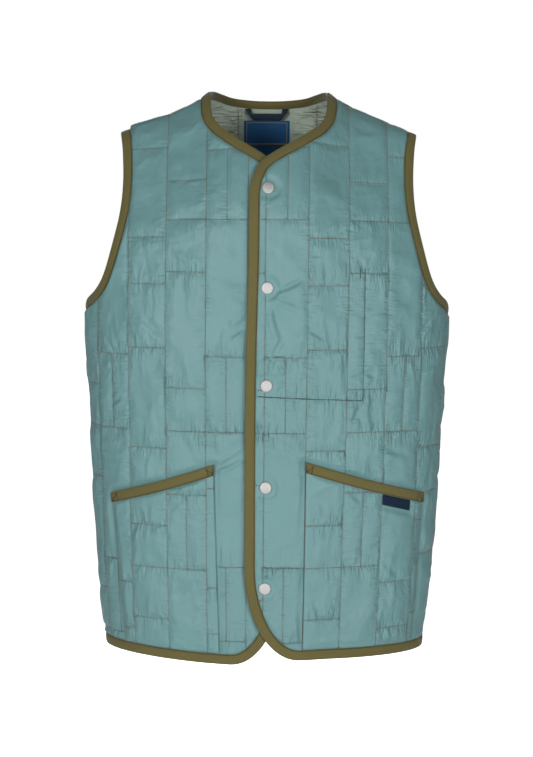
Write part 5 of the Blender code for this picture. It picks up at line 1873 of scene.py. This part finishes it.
class GILET_OT_fronts(bpy.types.Operator):
    """Build both quilted fronts, the left one over the right one"""

    bl_idname = "gilet.fronts"
    bl_label = "Fronts"

    def execute(self, context):
        for name in HANDS:
            add_quilted(panels()["front_" + name], cloth("shell"), cloth("lining"))
        return {"FINISHED"}


class GILET_OT_pockets(bpy.types.Operator):
    """Build the patch pockets"""

    bl_idname = "gilet.pockets"
    bl_label = "Pockets"

    def execute(self, context):
        for name in HANDS:
            add_quilted(panels()["pocket_" + name], cloth("shell"), cloth("shell"))
        return {"FINISHED"}


class GILET_OT_lining(bpy.types.Operator):
    """Build the back's lining, drawn up by the quilting"""

    bl_idname = "gilet.lining"
    bl_label = "Lining"

    def execute(self, context):
        sizes = context.scene.gilet_cloth
        back = panels()["back"]
        lining = Panel("lining", BACK, back_edges(), BACK_BOUND, QUILT_BACK)
        lining.flattened = [neck_label_area()]
        layer = quilted_layer(lining, LINING_STEP * sizes.step)
        calm = lining.calm(layer.flat)
        relief = quilt_relief(lining, layer.flat, sizes.rise, LINING_DRAW)
        drawn = np.maximum(relief.pucker + LINING_PUFF * relief.puff, LINING_DIP)
        bumps = LINING_LOFT * relief.puff + sizes.pucker * drawn
        lift = -GAP - calm * np.maximum(bumps, 0.0)
        near = back.place(layer.flat, lift)
        far = back.place(layer.flat, lift - LINING_THICK)
        points = np.vstack((near, far))
        uvs = np.vstack((layer.flat, layer.flat))
        values = cloth_values(layer, relief, calm)
        values = {label: np.tile(numbers, 2) for label, numbers in values.items()}
        piece = add_mesh("lining_back_cloth", points, two_sided(layer), [cloth("lining")], uvs, values)
        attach(outward(piece), BODY)
        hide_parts("lining_back")
        wide, tall = np.ptp(back.loop, axis=0)
        area = abs(signed_area(back.loop))
        dashes = quilting_dashes(lining, -GAP - LINING_FACE, sizes.stitch)
        add_stitches("lining_quilting", dashes, sizes.thread, cloth("thread"))
        return {"FINISHED"}


class GILET_OT_bindings(bpy.types.Operator):
    """Build the bindings of the neck, fronts, hem, armholes and pockets"""

    bl_idname = "gilet.bindings"
    bl_label = "Bindings"

    def execute(self, context):
        lined = GAP + LINING
        back = panels()["back"]
        tape = cloth("binding")
        right_neck = cut_strip(tape_strip(panels()["front_right"], "neck", 0.0, lined), BACKWARDS)
        back_neck = cut_strip(tape_strip(back, "neck", lined, under=NECK_UNDER), BETWEEN_ENDS)
        left_neck = tape_strip(panels()["front_left"], "neck", 0.0, lined)
        whole_neck = join_strips(right_neck, back_neck, left_neck)
        add_tape("neck_binding", whole_neck, tape)
        for name in HANDS:
            front, pocket = panels()["front_" + name], panels()["pocket_" + name]
            edge = cut_strip(tape_strip(front, "front", 0.0), BEFORE_END)
            edge = join_strips(edge, tape_strip(front, "hem", 0.0))
            add_tape("front_binding_" + name, edge, tape)
            ahead = tape_strip(front, "armhole", 0.0, lined)
            behind = cut_strip(tape_strip(back, "armhole_" + name, lined), BETWEEN_ENDS)
            if name == "right":
                behind = cut_strip(behind, BACKWARDS)
            armhole = join_strips(ahead, behind)
            add_tape("armhole_binding_" + name, armhole, tape, closed=True)
            add_tape("pocket_binding_" + name, tape_strip(pocket, "mouth", 0.0), tape)
        add_tape("hem_binding_back", tape_strip(back, "hem", lined), tape)
        return {"FINISHED"}


class GILET_OT_stitching(bpy.types.Operator):
    """Sew the quilting, the pockets and the bindings"""

    bl_idname = "gilet.stitching"
    bl_label = "Stitching"

    def execute(self, context):
        sizes = context.scene.gilet_cloth
        raised = STITCH_LIFT * sizes.thread
        lift = SHELL + raised
        for name in ("back", "front_left", "front_right", "pocket_left", "pocket_right"):
            dashes = quilting_dashes(panels()[name], lift, sizes.stitch)
            add_stitches(name + "_quilting", dashes, sizes.thread, cloth("thread"))
        front = panels()["front_left"]
        seams = [dashes_along(front.place, line, lift, sizes.stitch) for line in INSIDE_POCKET]
        wide = SEAM_THREAD * sizes.thread
        add_stitches("inside_pocket_stitching", seams, wide, cloth("dark_thread"))
        for name, panel in panels().items():
            found = []
            if name.startswith("pocket"):
                high = SHELL + GAP + TAPE_TOP[TACK_ROW].top + raised
                found += [dashes_along(panel.place, line, high, TACK_STITCH) for line in tack_lines(panel)]
            for edge in panel.bound:
                chain = panel.edges[edge] + panel.normals[edge] * TAPE_STITCH * BINDING_WIDTH
                high = SHELL + GAP + TAPE_TOP[STITCH_ROW].top + raised
                found.append(dashes_along(panel.place, chain, high, sizes.stitch))
            add_stitches(name + "_tape_stitching", found, sizes.thread, cloth("tape_thread"))
        return {"FINISHED"}


class GILET_OT_snaps(bpy.types.Operator):
    """Set the snaps down the front"""

    bl_idname = "gilet.snaps"
    bl_label = "Snaps"

    def execute(self, context):
        metal = snap_material(tuple(context.scene.gilet_colours.metal))
        for number, down in enumerate(SNAP_DOWN, 1):
            centre = np.array((0.0, down))
            left, right = panels()["front_left"], panels()["front_right"]
            add_turned("snap_cap_%d" % number, SNAP_CAP, seat(left, centre, SHELL + GAP), metal)
            add_turned("snap_stud_%d" % number, SNAP_STUD, seat(right, centre, SHELL + GAP), metal)
        return {"FINISHED"}


class GILET_OT_labels(bpy.types.Operator):
    """Sew in the neck label, its tab, the hanger loop and the pocket tab"""

    bl_idname = "gilet.labels"
    bl_label = "Labels"

    def execute(self, context):
        back = panels()["back"]
        navy, tan = cloth("label"), cloth("border")
        face = -(2 * GAP + LINING)
        label = rectangle(LABEL_HALF_WIDTH, LABEL_TOP, LABEL_BOTTOM)
        tab = rectangle(LABEL_TAB_HALF_WIDTH, LABEL_BOTTOM + GAP, LABEL_TAB_BOTTOM)
        top = face - LABEL_THICK
        for name, corners in (("neck_label", label), ("neck_label_tab", tab)):
            plate = add_plate(name + "_cloth", corners, back.place, level(face), level(top), navy)
            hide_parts(name)
            wide, tall = np.ptp(corners, axis=0)
        foot_half = LABEL_HALF_WIDTH - BORDER_INSET
        foot = rectangle(foot_half, LABEL_BOTTOM - BORDER_INSET, LABEL_BOTTOM - FOOT_INSET)
        for name, lines in (("border", frame_outline(label, BORDER_INSET, BORDER_WIDTH)), ("foot", foot)):
            low, high = level(top + BORDER_HALF_THICK), level(top - BORDER_HALF_THICK)
            add_plate("neck_label_" + name, lines, back.place, low, high, tan)
        loop_top = loop_outline()[0][1]
        loop_run = LOOP_BOTTOM - LOOP_TAPE - loop_top

        def bulge(depth):
            return lambda flat: face - LOOP_BULGE * ease((flat[:, 1] - loop_top) / loop_run) - depth

        near, far = bulge(0.0), bulge(LOOP_THICK)
        loop = add_plate("hanger_loop_tape", loop_outline(), back.place, near, far, cloth("loop"))
        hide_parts("hanger_loop")
        pocket = panels()["pocket_left"]
        high = SHELL + GAP
        corners = tab_outline(pocket)
        dark = cloth("pocket_tab")
        tab = add_plate("pocket_tab_cloth", corners, pocket.place, level(high + TAB_THICK), level(high), dark)
        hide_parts("pocket_tab")
        return {"FINISHED"}


class GILET_OT_stage(bpy.types.Operator):
    """Set up the floor, the light and the camera"""

    bl_idname = "gilet.stage"
    bl_label = "Stage"

    def execute(self, context):
        stage = context.scene.gilet_stage
        add_floor(stage.floor)
        for name, lamp in LAMPS.items():
            add_light(name, lamp, getattr(stage, name))
        add_room(stage.room)
        add_camera()
        context.scene.view_settings.view_transform = "Standard"
        return {"FINISHED"}


def add_floor(height):
    """A wide pale floor."""
    half = FLOOR_HALF
    corners = [(-half, -half, height), (half, -half, height), (half, half, height), (-half, half, height)]
    mesh = bpy.data.meshes.new("floor")
    mesh.from_pydata(corners, [], [(0, 1, 2, 3)])
    paint = bpy.data.materials.new("floor paint")
    paint.use_nodes = True
    tree = paint.node_tree
    shader = tree.nodes["Principled BSDF"]
    shader.inputs["Roughness"].default_value = 0.9
    shader.inputs["Emission Color"].default_value = (1.0, 1.0, 1.0, 1.0)
    seen = tree.nodes.new("ShaderNodeLightPath").outputs["Is Camera Ray"]
    tree.links.new(seen, shader.inputs["Emission Strength"])
    mottle = tree.nodes.new("ShaderNodeTexNoise")
    mottle.inputs["Scale"].default_value = 3.0
    ramp = tree.nodes.new("ShaderNodeMapRange")
    ramp.inputs["To Min"].default_value = 0.88
    ramp.inputs["To Max"].default_value = 0.92
    tree.links.new(tree.nodes.new("ShaderNodeTexCoord").outputs["Object"], mottle.inputs["Vector"])
    tree.links.new(mottle.outputs["Fac"], ramp.inputs["Value"])
    tree.links.new(ramp.outputs["Result"], shader.inputs["Base Color"])
    mesh.materials.append(paint)
    floor = bpy.data.objects.new("floor", mesh)
    bpy.context.scene.collection.objects.link(floor)


def add_light(name, lamp, power):
    """A soft square light aimed at the gilet."""
    data = bpy.data.lights.new(name, "AREA")
    data.size = lamp.size
    data.energy = power
    light = bpy.data.objects.new(name, data)
    light.location = lamp.place
    light.rotation_euler = (AIM - Vector(lamp.place)).to_track_quat("-Z", "Y").to_euler()
    bpy.context.scene.collection.objects.link(light)


def add_room(strength):
    """Even light from all round, seen as white."""
    world = bpy.data.worlds.new("room")
    bpy.context.scene.world = world
    world.use_nodes = True
    tree = world.node_tree
    background = tree.nodes["Background"]
    path = tree.nodes.new("ShaderNodeLightPath")
    mix = tree.nodes.new("ShaderNodeMapRange")
    mix.inputs["To Min"].default_value = strength
    mix.inputs["To Max"].default_value = 1.0
    tree.links.new(path.outputs["Is Camera Ray"], mix.inputs["Value"])
    tree.links.new(mix.outputs["Result"], background.inputs["Strength"])
    background.inputs["Color"].default_value = (1.0, 1.0, 1.0, 1.0)


def add_camera():
    """The camera, where the photograph was taken from."""
    data = bpy.data.cameras.new("camera")
    data.sensor_fit = "VERTICAL"
    data.sensor_width = SENSOR
    data.sensor_height = SENSOR
    data.lens = (AIM - EYE).length / METRES_PER_PIXEL * SENSOR / PHOTO_HIGH
    camera = bpy.data.objects.new("camera", data)
    camera.location = EYE
    camera.rotation_euler = (AIM - EYE).to_track_quat("-Z", "Y").to_euler()
    camera.rotation_euler.rotate_axis("Z", ROLL)
    bpy.context.scene.collection.objects.link(camera)
    bpy.context.scene.camera = camera


class GILET_PT_sidebar(bpy.types.Panel):
    """Steps that build the gilet"""

    bl_idname = "GILET_PT_sidebar"
    bl_label = "Gilet"
    bl_space_type = "VIEW_3D"
    bl_region_type = "UI"
    bl_category = "Gilet"

    def draw(self, context):
        for group in (context.scene.gilet_cloth, context.scene.gilet_colours, context.scene.gilet_stage):
            for name in group.__annotations__:
                self.layout.prop(group, name)
        for step in STEPS:
            self.layout.operator(step.bl_idname)


STEPS = (
    GILET_OT_stage,
    GILET_OT_back,
    GILET_OT_fronts,
    GILET_OT_pockets,
    GILET_OT_lining,
    GILET_OT_bindings,
    GILET_OT_stitching,
    GILET_OT_snaps,
    GILET_OT_labels,
)
SETTINGS = {"gilet_cloth": GiletCloth, "gilet_colours": GiletColours, "gilet_stage": GiletStage}
CLASSES = (*SETTINGS.values(), *STEPS, GILET_PT_sidebar)


def register():
    """Add the gilet's settings, steps and panel to Blender."""
    for item in CLASSES:
        bpy.utils.register_class(item)
    for name, group in SETTINGS.items():
        setattr(bpy.types.Scene, name, PointerProperty(type=group))


def unregister():
    """Take them out again."""
    for name in SETTINGS:
        delattr(bpy.types.Scene, name)
    for item in reversed(CLASSES):
        bpy.utils.unregister_class(item)


def main():
    """Build the gilet."""
    register()
    bpy.ops.gilet.stage()
    bpy.ops.gilet.back()
    bpy.ops.gilet.fronts()
    bpy.ops.gilet.pockets()
    bpy.ops.gilet.lining()
    bpy.ops.gilet.bindings()
    bpy.ops.gilet.stitching()
    bpy.ops.gilet.snaps()
    bpy.ops.gilet.labels()


if __name__ == "__main__":
    main()
